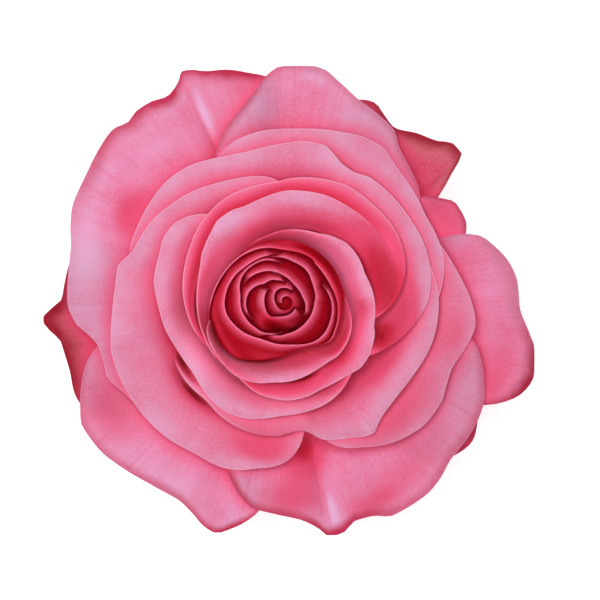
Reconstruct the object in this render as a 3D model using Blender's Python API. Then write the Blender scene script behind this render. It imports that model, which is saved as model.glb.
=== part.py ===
"""A cut pink rose head, standing on its short stem stub and its five sepal tips.

Every petal is one sheet wound about the flower's own axis. Its claw stands on the
receptacle, its wall rises to a trench radius, and its lip rolls out to a rim whose
radius was read off the photograph at a few angles. The petals are laid from the
inside outwards, and each lip is kept under the lips that lie over it.

Tables are in degrees and millimetres; Blender gets metres, +Z up, and the photograph
looks straight down: its right is +X and its top is +Y.
"""

import math
from collections import namedtuple
from functools import lru_cache

import bmesh
import bpy
import numpy as np
from mathutils import Matrix, Vector

MM = 0.001

# Where the flower's axis stands, so that the middle of the whole box is over the origin
AXIS_FROM_BOX_CENTRE = Vector((-0.78, -0.30, 0.0)) * MM

# Sheet and clearances
PETAL_THICKNESS = 0.6
LAYER_GAP = 1.0
CLAW_HALF_WIDTH = 1.15
CLAW_LIFT = 0.72

# Crown: the height of a rim by its distance from the axis
CROWN_TOP = 54.0
CROWN_TOP_RADIUS = 10.0
CROWN_CURVE = 0.0135
CROWN_TURN_RADIUS = 29.0
CROWN_OUTER_SLOPE = 0.56

# Profile of a petal, in shares of its own lengths
WALL_ROWS = (0.0, 0.3, 0.6, 0.82)
LIP_ROWS = np.array((0.0, 0.2, 0.42, 0.64, 0.84, 1.0))
HEART_LIP_ROWS = np.array((0.0, 0.4, 0.75, 1.0))
LIP_RISE = 0.76
LIP_REACH = 0.46
END_LIP = 0.6
HEART_WALL_TOP = 40.0
HEART_END_SPAN = 10.0
HEART_END_DROP = 8.0

# Height at which an outer petal's wall passes into its lip, by the wall's radius
WALL_TOP = 46.3
WALL_TOP_FALL = 0.95

# Lower margin of a petal beside its claw, as shares of the wall: inner petals narrow at once
MARGIN_BESIDE_CLAW = 0.5
MARGIN_AT_END = 0.75
BROAD = ("petal_outer_1", "petal_outer_2", "petal_outer_3", "petal_outer_4", "petal_guard_1")
BROAD_MARGIN_BESIDE_CLAW = 0.12
BROAD_MARGIN_AT_END = 0.6

# All petals have their columns at the same angles, so that layers stay apart between them
COLUMN_STEP = 7.5
HEART_COLUMN_STEP = 15.0

# Ceiling under which the next lip is laid
CEILING_STEP = 0.25
CEILING_RADIUS = 62.0
FREE_HEIGHT = 200.0
STEEPEST_LAID = 3.0
RISE_BEYOND_RIM = 1.2

# Receptacle: a shallow dome, with the radii at which its profile is drawn
RECEPTACLE_TOP = 15.5
RECEPTACLE_FALL = 0.055
RECEPTACLE_RADII = (0.0, 2.5, 5.0, 6.8)

# Hip and stem stub: (radius, height) down to the middle of the cut end
HIP_RADIUS = 7.5
HIP_WAIST = 6.3
STUB_RADIUS = 3.0
STUB_TOP = 3.6
STUB_BLEND = 0.4
HIP_PROFILE = (
    (HIP_RADIUS, 12.2),
    (HIP_RADIUS, 11.2),
    (HIP_WAIST + 0.5, 9.6),
    (HIP_WAIST, 7.6),
    (5.2, 5.4),
    (STUB_RADIUS + STUB_BLEND, STUB_TOP + STUB_BLEND),
    (STUB_RADIUS, STUB_TOP - STUB_BLEND),
    (STUB_RADIUS, 0.0),
    (0.0, 0.0),
)
HIP_STEPS = 24

# Sepals: the middle line's Bezier points as (radius, height), out of the hip and down to the ground
SEPAL_COUNT = 5
SEPAL_FIRST_DEG = 20.0
SEPAL_LINE = ((4.5, 11.6), (14.0, 13.2), (23.0, 10.5), (27.0, 0.0))
SEPAL_STATIONS = 9
SEPAL_HALF_WIDTH = 4.4
SEPAL_TIP_HALF_WIDTH = 0.15
SEPAL_BASE_SHARE = 0.62
SEPAL_WIDENING = 0.9
SEPAL_ROUNDING = 1.2
SEPAL_TAPER = 0.68
SEPAL_THICKNESS = 1.0
SEPAL_THINNING = 0.25
SEPAL_KEEL = 0.35
LINE_STEP = 0.01

PETAL_PINK = (0.80, 0.19, 0.34, 1.0)
GUARD_PINK = (0.72, 0.22, 0.30, 1.0)
SEPAL_GREEN = (0.16, 0.30, 0.08, 1.0)
ROUGHNESS = 0.55

# name, claw ring radius, claw angle, rim slope in degrees, rim height change,
# wall as (angle, radius) or the lip width, rim as (angle, radius), and the angles of sharp tips
Petal = namedtuple("Petal", "name ring claw slope lift wall rim tips", defaults=((),))

HEART = (
    Petal("petal_heart_1", 0.9, 235, -30, -1.0, 0.35, (
        (50, 2.7), (62, 2.85), (90, 3.0), (110, 3.05), (130, 2.9), (150, 2.6), (170, 2.25),
        (190, 2.0), (220, 1.85), (260, 1.8), (300, 1.7), (340, 1.6), (380, 1.55), (406, 1.5))),
    Petal("petal_heart_2", 1.9, 225, -10, -0.6, 0.4, (
        (138, 3.9), (150, 4.5), (165, 4.4), (190, 4.3), (210, 4.35), (225, 4.2), (240, 3.6),
        (255, 3.15), (270, 2.95), (288, 2.8), (300, 2.6))),
    Petal("petal_heart_3", 1.9, 125, 0, -0.2, 0.5, (
        (86, 3.9), (96, 4.4), (110, 4.9), (120, 5.4), (130, 5.6), (138, 5.8), (145, 6.4),
        (155, 7.0), (165, 7.3), (176, 7.4), (188, 6.6))),
    Petal("petal_heart_4", 1.9, 25, 0, -0.2, 0.5, (
        (-38, 4.3), (-28, 4.7), (-15, 4.5), (0, 4.2), (10, 3.95), (20, 3.8), (40, 3.85),
        (55, 4.0), (70, 4.4), (80, 4.9), (90, 5.4), (100, 6.1), (110, 6.8), (120, 7.5),
        (130, 8.1), (140, 8.6), (148, 8.2))),
    Petal("petal_heart_5", 3.0, 150, 8, 0.0, 0.9, (
        (105, 8.7), (112, 9.6), (120, 9.9), (130, 10.2), (140, 10.4), (150, 10.4), (157, 10.2),
        (165, 9.8), (172, 9.4), (190, 9.2), (200, 8.9), (210, 8.6), (220, 8.2), (232, 7.8),
        (242, 7.2))),
    Petal("petal_heart_6", 3.0, 330, 8, 0.0, 0.8, (
        (247, 6.6), (256, 7.2), (264, 7.1), (277, 6.6), (290, 6.4), (300, 6.25), (320, 6.1),
        (340, 6.1), (357, 6.15), (370, 6.55), (382, 6.65), (392, 6.9), (400, 7.2), (410, 7.75),
        (420, 8.15), (430, 8.4), (440, 8.7), (447, 9.0), (454, 8.4))),
    Petal("petal_heart_7", 3.0, 240, 10, 0.0, 1.0, (
        (146, 11.3), (152, 11.8), (160, 12.1), (170, 12.4), (182, 12.6),
        (190, 12.45), (198, 12.0), (206, 11.4), (216, 10.7), (226, 9.9), (238, 9.15),
        (250, 8.9), (270, 8.9), (280, 9.05), (290, 9.5), (300, 10.0), (310, 10.4), (320, 10.5),
        (335, 10.3), (350, 10.0), (358, 9.2))),
    Petal("petal_heart_8", 3.0, 60, 10, 0.2, 1.1, (
        (311, 11.0), (318, 12.1), (323, 12.35), (330, 11.95), (340, 11.6), (350, 11.2),
        (360, 10.9), (370, 10.5), (380, 10.15), (396, 10.0), (410, 10.15), (418, 10.65),
        (430, 10.75), (442, 10.75), (452, 10.95), (465, 11.7), (475, 12.3), (485, 12.8),
        (495, 13.3), (505, 13.7), (515, 14.1), (525, 14.6), (532, 15.0), (539, 14.4))),
)

OUTER = (
    Petal("petal_bowl_1", 3.9, 262, 16, 0.0,
        ((194, 15.9), (226, 15.9), (240, 15.5), (255, 14.8), (270, 13.6), (284, 12.9),
         (300, 12.6), (350, 12.6)),
        ((194, 16.3), (201, 17.5), (212, 18.0), (225, 18.3), (235, 18.5), (245, 18.2),
         (254, 17.6), (262, 16.9), (272, 16.6), (284, 16.1), (294, 15.6), (305, 15.4),
         (315, 15.7), (326, 15.5), (337, 15.0), (345, 14.4), (352, 13.0))),
    Petal("petal_bowl_2", 3.9, 352, 22, 0.0,
        ((240, 16.7), (256, 15.9), (270, 14.7), (286, 13.9), (300, 13.7), (356, 13.7),
         (368, 12.9), (376, 12.6), (400, 12.7), (464, 13.4)),
        ((242, 17.0), (248, 18.6), (254, 19.9), (262, 20.2), (272, 20.5), (282, 20.3),
         (294, 19.7), (303, 19.8), (312, 20.2), (320, 20.9), (327, 20.8), (335, 20.3),
         (341, 19.8), (345, 19.2), (355, 18.9), (363, 18.6), (372, 18.1), (380, 17.7),
         (392, 17.9), (402, 17.8), (410, 17.2), (417, 16.6), (424, 15.9), (434, 15.5),
         (447, 15.1), (456, 14.8), (464, 13.8))),
    Petal("petal_bowl_3", 3.9, 150, 24, -0.3,
        ((34, 15.0), (100, 15.2), (140, 15.4), (170, 16.0), (195, 16.9), (232, 16.9)),
        ((34, 15.4), (40, 23.0), (46, 24.1), (56, 23.9), (68, 23.85), (80, 23.5), (90, 23.2),
         (97, 22.6), (105, 22.0), (113, 21.7), (121, 22.1), (129, 22.1), (135, 21.4),
         (142, 20.7), (150, 20.0), (157, 19.2), (166, 18.7), (178, 18.45), (192, 18.4),
         (204, 18.4), (216, 18.5), (224, 18.3), (231, 17.3))),
    Petal("petal_bowl_4", 3.9, 75, 24, 0.0,
        ((24, 16.0), (140, 16.45), (170, 17.1), (190, 17.9)),
        ((24, 16.4), (30, 26.0), (37, 27.3), (48, 27.3), (60, 27.6), (70, 27.3), (79, 26.5),
         (88, 25.5), (96, 24.9), (106, 25.0), (115, 25.1), (123, 24.9), (131, 24.4),
         (139, 24.0), (148, 23.2), (156, 22.6), (166, 22.2), (176, 21.8), (184, 20.5),
         (190, 17.8))),
    Petal("petal_middle_1", 4.9, 157.5, 24, 0.0,
        ((124, 17.5), (150, 17.8), (170, 18.2), (188, 18.95), (198, 18.5), (206, 18.0),
         (252, 18.0)),
        ((124, 17.7), (131, 24.9), (137, 27.1), (144, 28.5), (151, 28.7), (160, 28.2),
         (170, 27.9), (178, 27.1), (186, 26.3), (193, 25.9), (200, 25.0), (208, 24.5),
         (216, 24.3), (224, 24.5), (232, 25.2), (239, 25.0), (245, 23.0), (250, 18.4))),
    Petal("petal_middle_2", 4.9, 45, 20, 0.0,
        ((-16, 17.1), (8, 17.2), (30, 17.8), (60, 19.2), (90, 20.45), (150, 20.5), (174, 20.7)),
        ((-16, 17.5), (-11, 25.0), (-5, 28.3), (1, 29.6), (9, 30.8), (17, 31.3), (25, 31.6),
         (35, 31.5), (46, 31.6), (55, 31.6), (62, 30.8), (67, 31.2), (71, 32.4), (76, 33.9),
         (82, 34.0), (90, 33.3), (97, 32.8), (104, 32.5), (111, 32.9), (119, 34.0),
         (127, 35.1), (135, 35.5), (144, 35.2), (152, 34.8), (159, 34.6), (165, 33.6),
         (170, 27.0), (174, 20.9))),
    Petal("petal_middle_3", 4.9, 292.5, 26, 0.0,
        ((196, 19.75), (210, 19.1), (247, 19.1), (262, 18.3), (355, 18.3),
         (376, 18.45)),
        ((196, 19.4), (203, 24.5), (210, 26.2), (220, 26.5), (230, 26.3), (240, 27.3),
         (248, 27.9), (257, 28.2), (267, 28.0), (272, 27.3), (277, 27.0), (281, 27.9),
         (285, 29.7), (291, 30.8), (297, 31.8), (301, 32.8), (304, 33.1), (308, 31.9),
         (313, 31.0), (321, 30.6), (329, 30.8), (337, 31.4), (346, 32.0), (356, 32.2),
         (364, 32.2), (369, 30.5), (372, 26.0), (376, 18.7))),
    Petal("petal_middle_4", 4.9, 225, 24, 0.0,
        ((88, 19.4), (172, 19.5), (188, 20.2), (196, 20.85), (210, 20.2), (284, 20.1)),
        ((88, 19.8), (93, 25.6), (100, 27.0), (110, 27.8), (120, 28.9), (130, 30.2),
         (140, 31.5), (148, 32.6), (156, 33.2), (161, 33.6), (165, 34.9), (168, 35.9),
         (174, 35.8), (182, 36.2), (190, 37.1), (197, 38.0), (206, 38.2), (218, 38.1),
         (228, 37.8), (240, 37.0), (248, 37.2), (254, 36.7), (260, 35.5), (267, 34.4),
         (272, 32.8), (276, 30.2), (280, 25.5), (284, 20.4))),
    Petal("petal_middle_5", 4.9, 337.5, 22, 0.0,
        ((278, 21.2), (286, 21.2), (300, 20.4), (386, 20.4)),
        ((278, 20.7), (283, 27.0), (288, 31.2), (293, 33.2), (298, 34.5), (304, 36.3),
         (309, 37.5), (314, 38.4), (320, 39.1), (327, 39.0), (333, 38.1), (338, 37.7),
         (343, 38.5), (348, 39.6), (353, 40.3), (359, 39.4), (366, 37.8), (373, 36.4),
         (379, 34.5), (386, 20.7))),
    Petal("petal_middle_6", 4.9, 97.5, 20, 0.0,
        ((2, 19.4), (24, 19.4), (60, 20.5), (90, 21.7), (122, 21.8)),
        ((2, 19.3), (6, 31.0), (11, 35.8), (16, 35.8), (23, 34.9), (31, 34.7), (38, 35.3),
         (45, 36.0), (52, 37.1), (58, 38.5), (64, 38.4), (72, 37.6), (80, 36.9), (88, 36.4),
         (96, 36.3), (104, 35.8), (110, 34.9), (115, 33.6), (119, 29.0), (122, 21.9))),
    Petal("petal_outer_1", 5.9, 75, 24, 0.0,
        ((30, 21.9), (60, 22.3), (85, 22.75), (102, 22.75)),
        ((30, 22.8), (34, 33.5), (40, 36.7), (47, 38.5), (53, 40.2), (58, 43.0), (64, 44.2),
         (70, 45.4), (76, 47.8), (81, 50.0), (86, 50.4), (91, 49.9), (95, 48.0), (98, 41.5),
         (102, 22.8))),
    Petal("petal_outer_2", 5.9, 142.5, 22, 0.0,
        ((84, 23.9), (120, 23.5), (212, 23.4)),
        ((84, 23.8), (89, 41.0), (94, 47.5), (99, 49.0), (104, 50.6), (109, 51.6),
         (112, 53.0), (114, 53.5), (116, 51.7), (120, 50.1), (124, 51.0), (128, 51.2),
         (131, 50.5), (135, 51.6), (141, 50.9), (149, 49.8), (155, 49.4), (160, 48.2),
         (166, 46.6), (173, 46.1), (180, 45.9), (186, 44.9), (190, 42.0), (197, 40.1),
         (203, 40.3), (208, 37.0), (212, 23.8)),
        (115.0,)),
    Petal("petal_outer_3", 5.9, 292.5, 22, 0.0,
        ((252, 21.3), (266, 21.5), (278, 22.3), (288, 22.3), (300, 21.5), (356, 21.5)),
        ((252, 21.7), (257, 39.0), (261, 43.8), (267, 44.7), (274, 46.0), (278, 48.0),
         (281, 50.5), (284, 50.3), (288, 48.5), (292, 48.8), (297, 50.6), (306, 50.5),
         (311, 49.7), (317, 48.2), (325, 48.0), (332, 47.3), (338, 45.3), (344, 42.9),
         (349, 40.0), (353, 33.5), (356, 21.7)),
        (281.5,)),
    Petal("petal_outer_4", 6.6, 232.5, 24, -0.6,
        ((188, 24.5), (208, 24.5), (250, 23.0), (272, 22.9)),
        ((188, 24.8), (192, 39.0), (197, 43.8), (202, 46.4), (207, 48.6), (212, 50.3),
         (218, 50.2), (226, 49.0), (234, 47.8), (241, 47.4), (246, 48.6), (250, 50.4),
         (253, 51.0), (257, 49.0), (260, 47.0), (264, 43.0), (270, 22.8)),
        (252.0,)),
    Petal("petal_guard_1", 6.6, 352.5, 20, -0.8,
        ((-34, 22.6), (28, 22.6)),
        ((-34, 22.8), (-31, 40.0), (-28, 46.5), (-25, 50.5), (-21, 53.8), (-17, 55.0),
         (-12, 54.4), (-7, 52.0), (-1, 49.6), (5, 49.3), (10, 48.1), (15, 45.7), (19, 43.2),
         (21, 40.0), (23, 34.0), (26, 22.8))),
    Petal("petal_guard_2", 7.2, 30, 24, -1.5,
        ((10, 24.0), (46, 23.5)),
        ((10, 23.8), (14, 36.0), (19, 40.0), (25, 41.8), (30, 41.6), (34, 39.2), (38, 36.2),
         (42, 32.0), (46, 23.8))),
    Petal("petal_guard_3", 7.2, 60, 20, -2.2,
        ((28, 24.8), (60, 24.5), (80, 24.9)),
        ((28, 24.8), (32, 34.0), (35, 40.2), (38, 45.0), (40, 48.8), (43, 48.9), (47, 46.7),
         (52, 45.3), (58, 43.5), (62, 44.7), (66, 46.2), (71, 45.2), (76, 39.0), (80, 24.8)),
        (41.0,)),
    Petal("petal_guard_4", 7.3, 187.5, 16, -2.0,
        ((158, 26.0), (220, 26.0)),
        ((158, 25.8), (163, 42.0), (169, 46.2), (175, 46.8), (179, 47.2), (182, 50.0),
         (184, 51.6), (187, 50.2), (190, 48.2), (197, 47.8), (204, 48.6), (210, 47.5),
         (216, 41.0), (220, 25.8)),
        (184.0,)),
    Petal("petal_guard_5", 7.3, 315, 22, -2.4,
        ((302, 24.1), (350, 24.1)),
        ((302, 23.9), (307, 40.0), (313, 46.2), (318, 48.4), (323, 49.4), (328, 48.0),
         (335, 44.5), (344, 38.0), (350, 23.9))),
)


def smooth(x):
    """Smoothstep of x held to 0..1."""
    x = np.clip(x, 0.0, 1.0)
    return x * x * (3.0 - 2.0 * x)


def curve_through(points, at):
    """Monotone cubic through (angle, value) points, held beyond its ends."""
    x = np.array([p[0] for p in points], float)
    y = np.array([p[1] for p in points], float)
    at = np.clip(np.asarray(at, float), x[0], x[-1])
    step = np.diff(x)
    rise = np.diff(y) / step
    tangent = np.zeros_like(y)
    same_way = rise[:-1] * rise[1:] > 0
    first = 2 * step[1:] + step[:-1]
    second = step[1:] + 2 * step[:-1]
    with np.errstate(divide="ignore", invalid="ignore"):
        mean = (first + second) / (first / rise[:-1] + second / rise[1:])
    tangent[1:-1] = np.where(same_way, mean, 0.0)
    tangent[0] = rise[0]
    tangent[-1] = rise[-1]
    i = np.clip(np.searchsorted(x, at, side="right") - 1, 0, len(step) - 1)
    h = step[i]
    t = (at - x[i]) / h
    return (
        (1 + 2 * t) * (1 - t) ** 2 * y[i]
        + t * (1 - t) ** 2 * h * tangent[i]
        + t * t * (3 - 2 * t) * y[i + 1]
        + t * t * (t - 1) * h * tangent[i + 1]
    )


def bezier(points, t):
    """Each coordinate of a cubic Bezier curve through its four points' hull, at share t."""
    weights = ((1 - t) ** 3, 3 * t * (1 - t) ** 2, 3 * t * t * (1 - t), t**3)
    return tuple(sum(w * c for w, c in zip(weights, values)) for values in zip(*points))


def crown(radius):
    """Height of the crown's surface at a distance from the axis."""
    inner = CROWN_TOP - CROWN_CURVE * (radius - CROWN_TOP_RADIUS) ** 2
    turn = CROWN_TOP - CROWN_CURVE * (CROWN_TURN_RADIUS - CROWN_TOP_RADIUS) ** 2
    outer = turn - CROWN_OUTER_SLOPE * (radius - CROWN_TURN_RADIUS)
    return np.where(radius < CROWN_TURN_RADIUS, inner, outer)


def receptacle_top(radius):
    """Height of the receptacle at a distance from the axis."""
    return RECEPTACLE_TOP - RECEPTACLE_FALL * radius**2


def rim_radius(petal, angle):
    """The rim's radius as read from the photograph."""
    return curve_through(petal.rim, angle)


def wall_radius(petal, angle):
    """The wall's radius: its own table, or the rim's less the width of the lip."""
    if isinstance(petal.wall, tuple):
        return curve_through(petal.wall, angle)
    return rim_radius(petal, angle) - petal.wall


def column_step(petal):
    """Degrees between the petal's columns."""
    return HEART_COLUMN_STEP if petal in HEART else COLUMN_STEP


def span_of(petal):
    """First and last column angle: the petal's ends on the shared grid of columns."""
    step = column_step(petal)
    return step * round(petal.rim[0][0] / step), step * round(petal.rim[-1][0] / step)


def end_share(petal, angle):
    """1 at the petal's two side margins, 0 from HEART_END_SPAN inwards."""
    first, last = span_of(petal)
    return 1.0 - float(smooth(min(angle - first, last - angle) / HEART_END_SPAN))


def wall_top(petal, wall):
    """Height at which a wall of that radius passes into the lip."""
    if petal in HEART:
        return np.full_like(wall, HEART_WALL_TOP)
    return WALL_TOP - WALL_TOP_FALL * wall


def drawn_rim(petal, angle):
    """The rim's radius; an outer petal's ends keep a share of the lip in the column beside."""
    read = float(rim_radius(petal, angle))
    if petal in HEART:
        return read
    first, last = span_of(petal)
    beside = min(max(angle, first + COLUMN_STEP), last - COLUMN_STEP)
    wall = wall_radius(petal, angle)
    return max(read, wall + END_LIP * float(rim_radius(petal, beside) - wall_radius(petal, beside)))


def lip(petal, angle, t):
    """Radius and height of the free lip at one angle, t from its wall (0) to its rim (1)."""
    wall = wall_radius(petal, angle)
    bottom = float(wall_top(petal, wall))
    rim = drawn_rim(petal, angle)
    top = float(crown(rim)) + petal.lift
    if petal in HEART:
        top -= HEART_END_DROP * end_share(petal, angle)
    slope = math.radians(petal.slope)
    reach = LIP_REACH * (rim - wall)
    handle = (rim - reach * math.cos(slope), top + reach * math.sin(slope))
    rise = bottom + LIP_RISE * (handle[1] - bottom)
    return bezier(((wall, bottom), (wall, rise), handle, (rim, top)), t)


def turn_within(petal, angle):
    """The angle, whole turns added or removed, where the petal covers it, or None."""
    first, last = span_of(petal)
    for turned in (angle - 360.0, angle, angle + 360.0):
        if first <= turned <= last:
            return turned
    return None


def shaded_radius(petal, angle):
    """How far out the petal covers at the angle and the columns beside it."""
    first, last = span_of(petal)
    beside = np.clip((angle - COLUMN_STEP, angle, angle + COLUMN_STEP), first, last)
    return max(drawn_rim(petal, turned) for turned in beside)


def ceiling_below(petal, radii, ceiling, laid, shaded):
    """Greatest height under a laid lip, by radius: one gap lower, and free inside its wall."""
    radius, height = laid
    continued = np.minimum(crown(radii) + petal.lift, ceiling)
    level = np.where(radii <= radius[-1], np.interp(radii, radius, height), continued)
    slope = np.clip(np.abs(np.gradient(level, CEILING_STEP)), 0.0, STEEPEST_LAID)
    level = level - LAYER_GAP * np.sqrt(1.0 + slope**2)
    level += RISE_BEYOND_RIM * np.maximum(0.0, radii - shaded)
    return np.where(radii < radius[0], FREE_HEIGHT, level)


def held_under(radii, ceiling, radius, height):
    """Heights lowered until neither the points nor the chords between them pass the ceiling."""
    height = np.minimum(height, np.interp(radius, radii, ceiling))
    over = np.interp(radii, radius, height) - ceiling
    drop = np.zeros_like(height)
    for k in range(len(radius) - 1):
        crossed = over[(radii >= radius[k]) & (radii <= radius[k + 1])]
        excess = max(0.0, float(np.max(crossed, initial=0.0)))
        drop[k : k + 2] = np.maximum(drop[k : k + 2], excess)
    return height - drop


@lru_cache(maxsize=None)
def laid_lips(angle):
    """Every outer petal's lip at one angle, from the inmost wall out, each under those inside it."""
    covering = [(turn_within(petal, angle), petal) for petal in OUTER]
    covering = [(turned, petal) for turned, petal in covering if turned is not None]
    covering.sort(key=lambda pair: float(wall_radius(pair[1], pair[0])))
    radii = np.arange(0.0, CEILING_RADIUS, CEILING_STEP)
    ceiling = np.full_like(radii, FREE_HEIGHT)
    laid = {}
    for turned, petal in covering:
        radius, height = lip(petal, turned, LIP_ROWS)
        laid[petal.name] = (radius, held_under(radii, ceiling, radius, height))
        shaded = shaded_radius(petal, turned)
        below = ceiling_below(petal, radii, ceiling, laid[petal.name], shaded)
        ceiling = np.minimum(ceiling, below)
    return laid


def columns_of(petal):
    """Angles of the petal's columns: the shared grid's, and its own sharp tips."""
    first, last = span_of(petal)
    step = column_step(petal)
    return np.array(sorted(set(np.arange(first, last + 0.5 * step, step)) | set(petal.tips)))


def lower_margin(petal, angles):
    """Share of the wall at which the petal begins: 0 at its claw, more towards its ends."""
    first, last = span_of(petal)
    middle = 0.5 * (first + last)
    claw = middle + (petal.claw - middle + 180.0) % 360.0 - 180.0
    claw_half = math.degrees(CLAW_HALF_WIDTH / max(petal.ring, CLAW_HALF_WIDTH))
    away = np.abs(angles - claw)
    reach = np.where(angles < claw, claw - first, last - claw)
    share = np.clip((away - claw_half) / np.maximum(reach - claw_half, 1.0), 0.0, 1.0)
    broad = petal.name in BROAD
    beside = BROAD_MARGIN_BESIDE_CLAW if broad else MARGIN_BESIDE_CLAW
    at_end = BROAD_MARGIN_AT_END if broad else MARGIN_AT_END
    curve = share**2 if broad else share
    return np.where(away <= claw_half, 0.0, beside + (at_end - beside) * curve)


def petal_rows(petal):
    """Rows of points from the lower margin to the rim, each an array of columns by (x, y, z)."""
    angles = columns_of(petal)
    foot = float(receptacle_top(petal.ring)) + CLAW_LIFT
    begins = lower_margin(petal, angles)
    wall = wall_radius(petal, angles)
    rise = wall_top(petal, wall) - foot
    rows = []
    for row in WALL_ROWS:
        s = begins + (1.0 - begins) * row
        radius = petal.ring + (wall - petal.ring) * (1.0 - (1.0 - s) ** 2)
        rows.append(cylinder_points(angles, radius, foot + rise * s))
    if petal in OUTER:
        lips = [laid_lips(float(angle % 360.0))[petal.name] for angle in angles]
    else:
        lips = [lip(petal, angle, HEART_LIP_ROWS) for angle in angles]
    for k in range(len(lips[0][0])):
        radius = np.array([r[k] for r, _ in lips])
        height = np.array([z[k] for _, z in lips])
        rows.append(cylinder_points(angles, radius, height))
    return np.array(rows)


def cylinder_points(angles, radius, height):
    """(x, y, z) of points given round the axis."""
    turned = np.radians(angles)
    return np.stack([radius * np.cos(turned), radius * np.sin(turned), height], axis=-1)


def mesh_object(name, points, faces, colour):
    """A new object from points in millimetres, with a material of its own."""
    mesh = bpy.data.meshes.new(name)
    mesh.from_pydata([tuple(float(c) * MM for c in p) for p in points], [], faces)
    mesh.update()
    obj = bpy.data.objects.new(name, mesh)
    bpy.context.scene.collection.objects.link(obj)
    mesh.materials.append(own_material(name, colour))
    return obj


def own_material(name, colour):
    """A plain material that only this object uses."""
    material = bpy.data.materials.new(name + "_surface")
    material.use_nodes = True
    shader = material.node_tree.nodes["Principled BSDF"]
    shader.inputs["Base Color"].default_value = colour
    shader.inputs["Roughness"].default_value = ROUGHNESS
    return material


def sheet_faces(rows, columns):
    """Two triangles for each cell, its diagonals alternating."""
    faces = []
    for row in range(rows - 1):
        for column in range(columns - 1):
            a = row * columns + column
            b, c, d = a + 1, a + columns + 1, a + columns
            if (row + column) % 2:
                faces += [(a, b, c), (a, c, d)]
            else:
                faces += [(a, b, d), (b, c, d)]
    return faces


def make_petal(petal):
    """One petal: a sheet of its points, thickened to both sides."""
    rows = petal_rows(petal)
    points = rows.reshape(-1, 3)
    faces = sheet_faces(rows.shape[0], rows.shape[1])
    colour = GUARD_PINK if "guard" in petal.name else PETAL_PINK
    obj = mesh_object(petal.name, points, faces, colour)
    solidify = obj.modifiers.new("thickness", "SOLIDIFY")
    solidify.thickness = PETAL_THICKNESS * MM
    solidify.offset = 0.0
    return obj


def make_hip():
    """The receptacle, hip and stem stub, turned about the axis."""
    receptacle = tuple((r, float(receptacle_top(r))) for r in RECEPTACLE_RADII)
    mesh = bpy.data.meshes.new("calyx")
    shape = bmesh.new()
    points = [shape.verts.new((r * MM, 0.0, z * MM)) for r, z in receptacle + HIP_PROFILE]
    edges = [shape.edges.new(pair) for pair in zip(points, points[1:])]
    bmesh.ops.spin(
        shape,
        geom=points + edges,
        cent=(0, 0, 0),
        axis=(0, 0, 1),
        angle=math.tau,
        steps=HIP_STEPS,
    )
    bmesh.ops.remove_doubles(shape, verts=shape.verts, dist=1e-6)
    bmesh.ops.recalc_face_normals(shape, faces=shape.faces)
    shape.to_mesh(mesh)
    shape.free()
    obj = bpy.data.objects.new("calyx", mesh)
    bpy.context.scene.collection.objects.link(obj)
    mesh.materials.append(own_material("calyx", SEPAL_GREEN))
    return obj


def sepal_half_width(t):
    """Half the sepal's width: a little wider past its base, then narrow to its tip."""
    swell = SEPAL_BASE_SHARE + SEPAL_WIDENING * t - SEPAL_ROUNDING * t * t
    return SEPAL_HALF_WIDTH * swell * (1.0 - SEPAL_TAPER * t**3) + SEPAL_TIP_HALF_WIDTH


def sepal_section(t):
    """Six points (outwards, across, up) of the sepal's section: three above and three below."""
    radius, height = bezier(SEPAL_LINE, t)
    ahead = bezier(SEPAL_LINE, min(1.0, t + LINE_STEP))
    behind = bezier(SEPAL_LINE, max(0.0, t - LINE_STEP))
    along = (ahead[0] - behind[0], ahead[1] - behind[1])
    length = math.hypot(*along)
    normal = (-along[1] / length, along[0] / length)
    half = sepal_half_width(t)
    thick = SEPAL_THICKNESS * (1.0 - SEPAL_THINNING * t)
    section = []
    for level in (0.5, -0.5):
        outwards = radius + normal[0] * thick * level
        up = height + normal[1] * thick * level
        for across, keel in ((-half, SEPAL_KEEL), (0.0, 0.0), (half, SEPAL_KEEL)):
            section.append((outwards, across, up + keel))
    return section


def sepal_faces():
    """Triangles of the ribbon between neighbouring sections, and over its two ends."""
    faces = []
    for k in range(SEPAL_STATIONS - 1):
        a, b = k * 6, k * 6 + 6
        for p, q in ((0, 1), (1, 2), (2, 5), (5, 4), (4, 3), (3, 0)):
            faces += [(a + p, a + q, b + q), (a + p, b + q, b + p)]
    for base in (0, (SEPAL_STATIONS - 1) * 6):
        for corners in ((0, 1, 4), (0, 4, 3), (1, 2, 5), (1, 5, 4)):
            faces.append(tuple(base + corner for corner in corners))
    return faces


def make_sepal(index):
    """One sepal as a closed ribbon of its own thickness, its tip cut level on the ground."""
    turn = math.radians(SEPAL_FIRST_DEG + 360.0 / SEPAL_COUNT * index)
    points = []
    for k in range(SEPAL_STATIONS):
        for outwards, across, up in sepal_section(k / (SEPAL_STATIONS - 1)):
            x = outwards * math.cos(turn) - across * math.sin(turn)
            y = outwards * math.sin(turn) + across * math.cos(turn)
            points.append((x, y, 0.0 if k == SEPAL_STATIONS - 1 else up))
    obj = mesh_object(f"sepal_cutter_{index}", points, sepal_faces(), SEPAL_GREEN)
    turned_out(obj)
    obj.hide_render = True
    obj.display_type = "WIRE"
    return obj


def turned_out(obj):
    """Makes every face of a closed object face outwards."""
    shape = bmesh.new()
    shape.from_mesh(obj.data)
    bmesh.ops.recalc_face_normals(shape, faces=shape.faces)
    shape.to_mesh(obj.data)
    shape.free()


def make_calyx():
    """The hip with its five sepals grown onto it."""
    hip = make_hip()
    for index in range(SEPAL_COUNT):
        union = hip.modifiers.new(f"sepal_{index}", "BOOLEAN")
        union.operation = "UNION"
        union.solver = "EXACT"
        union.object = make_sepal(index)
    return hip


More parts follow.
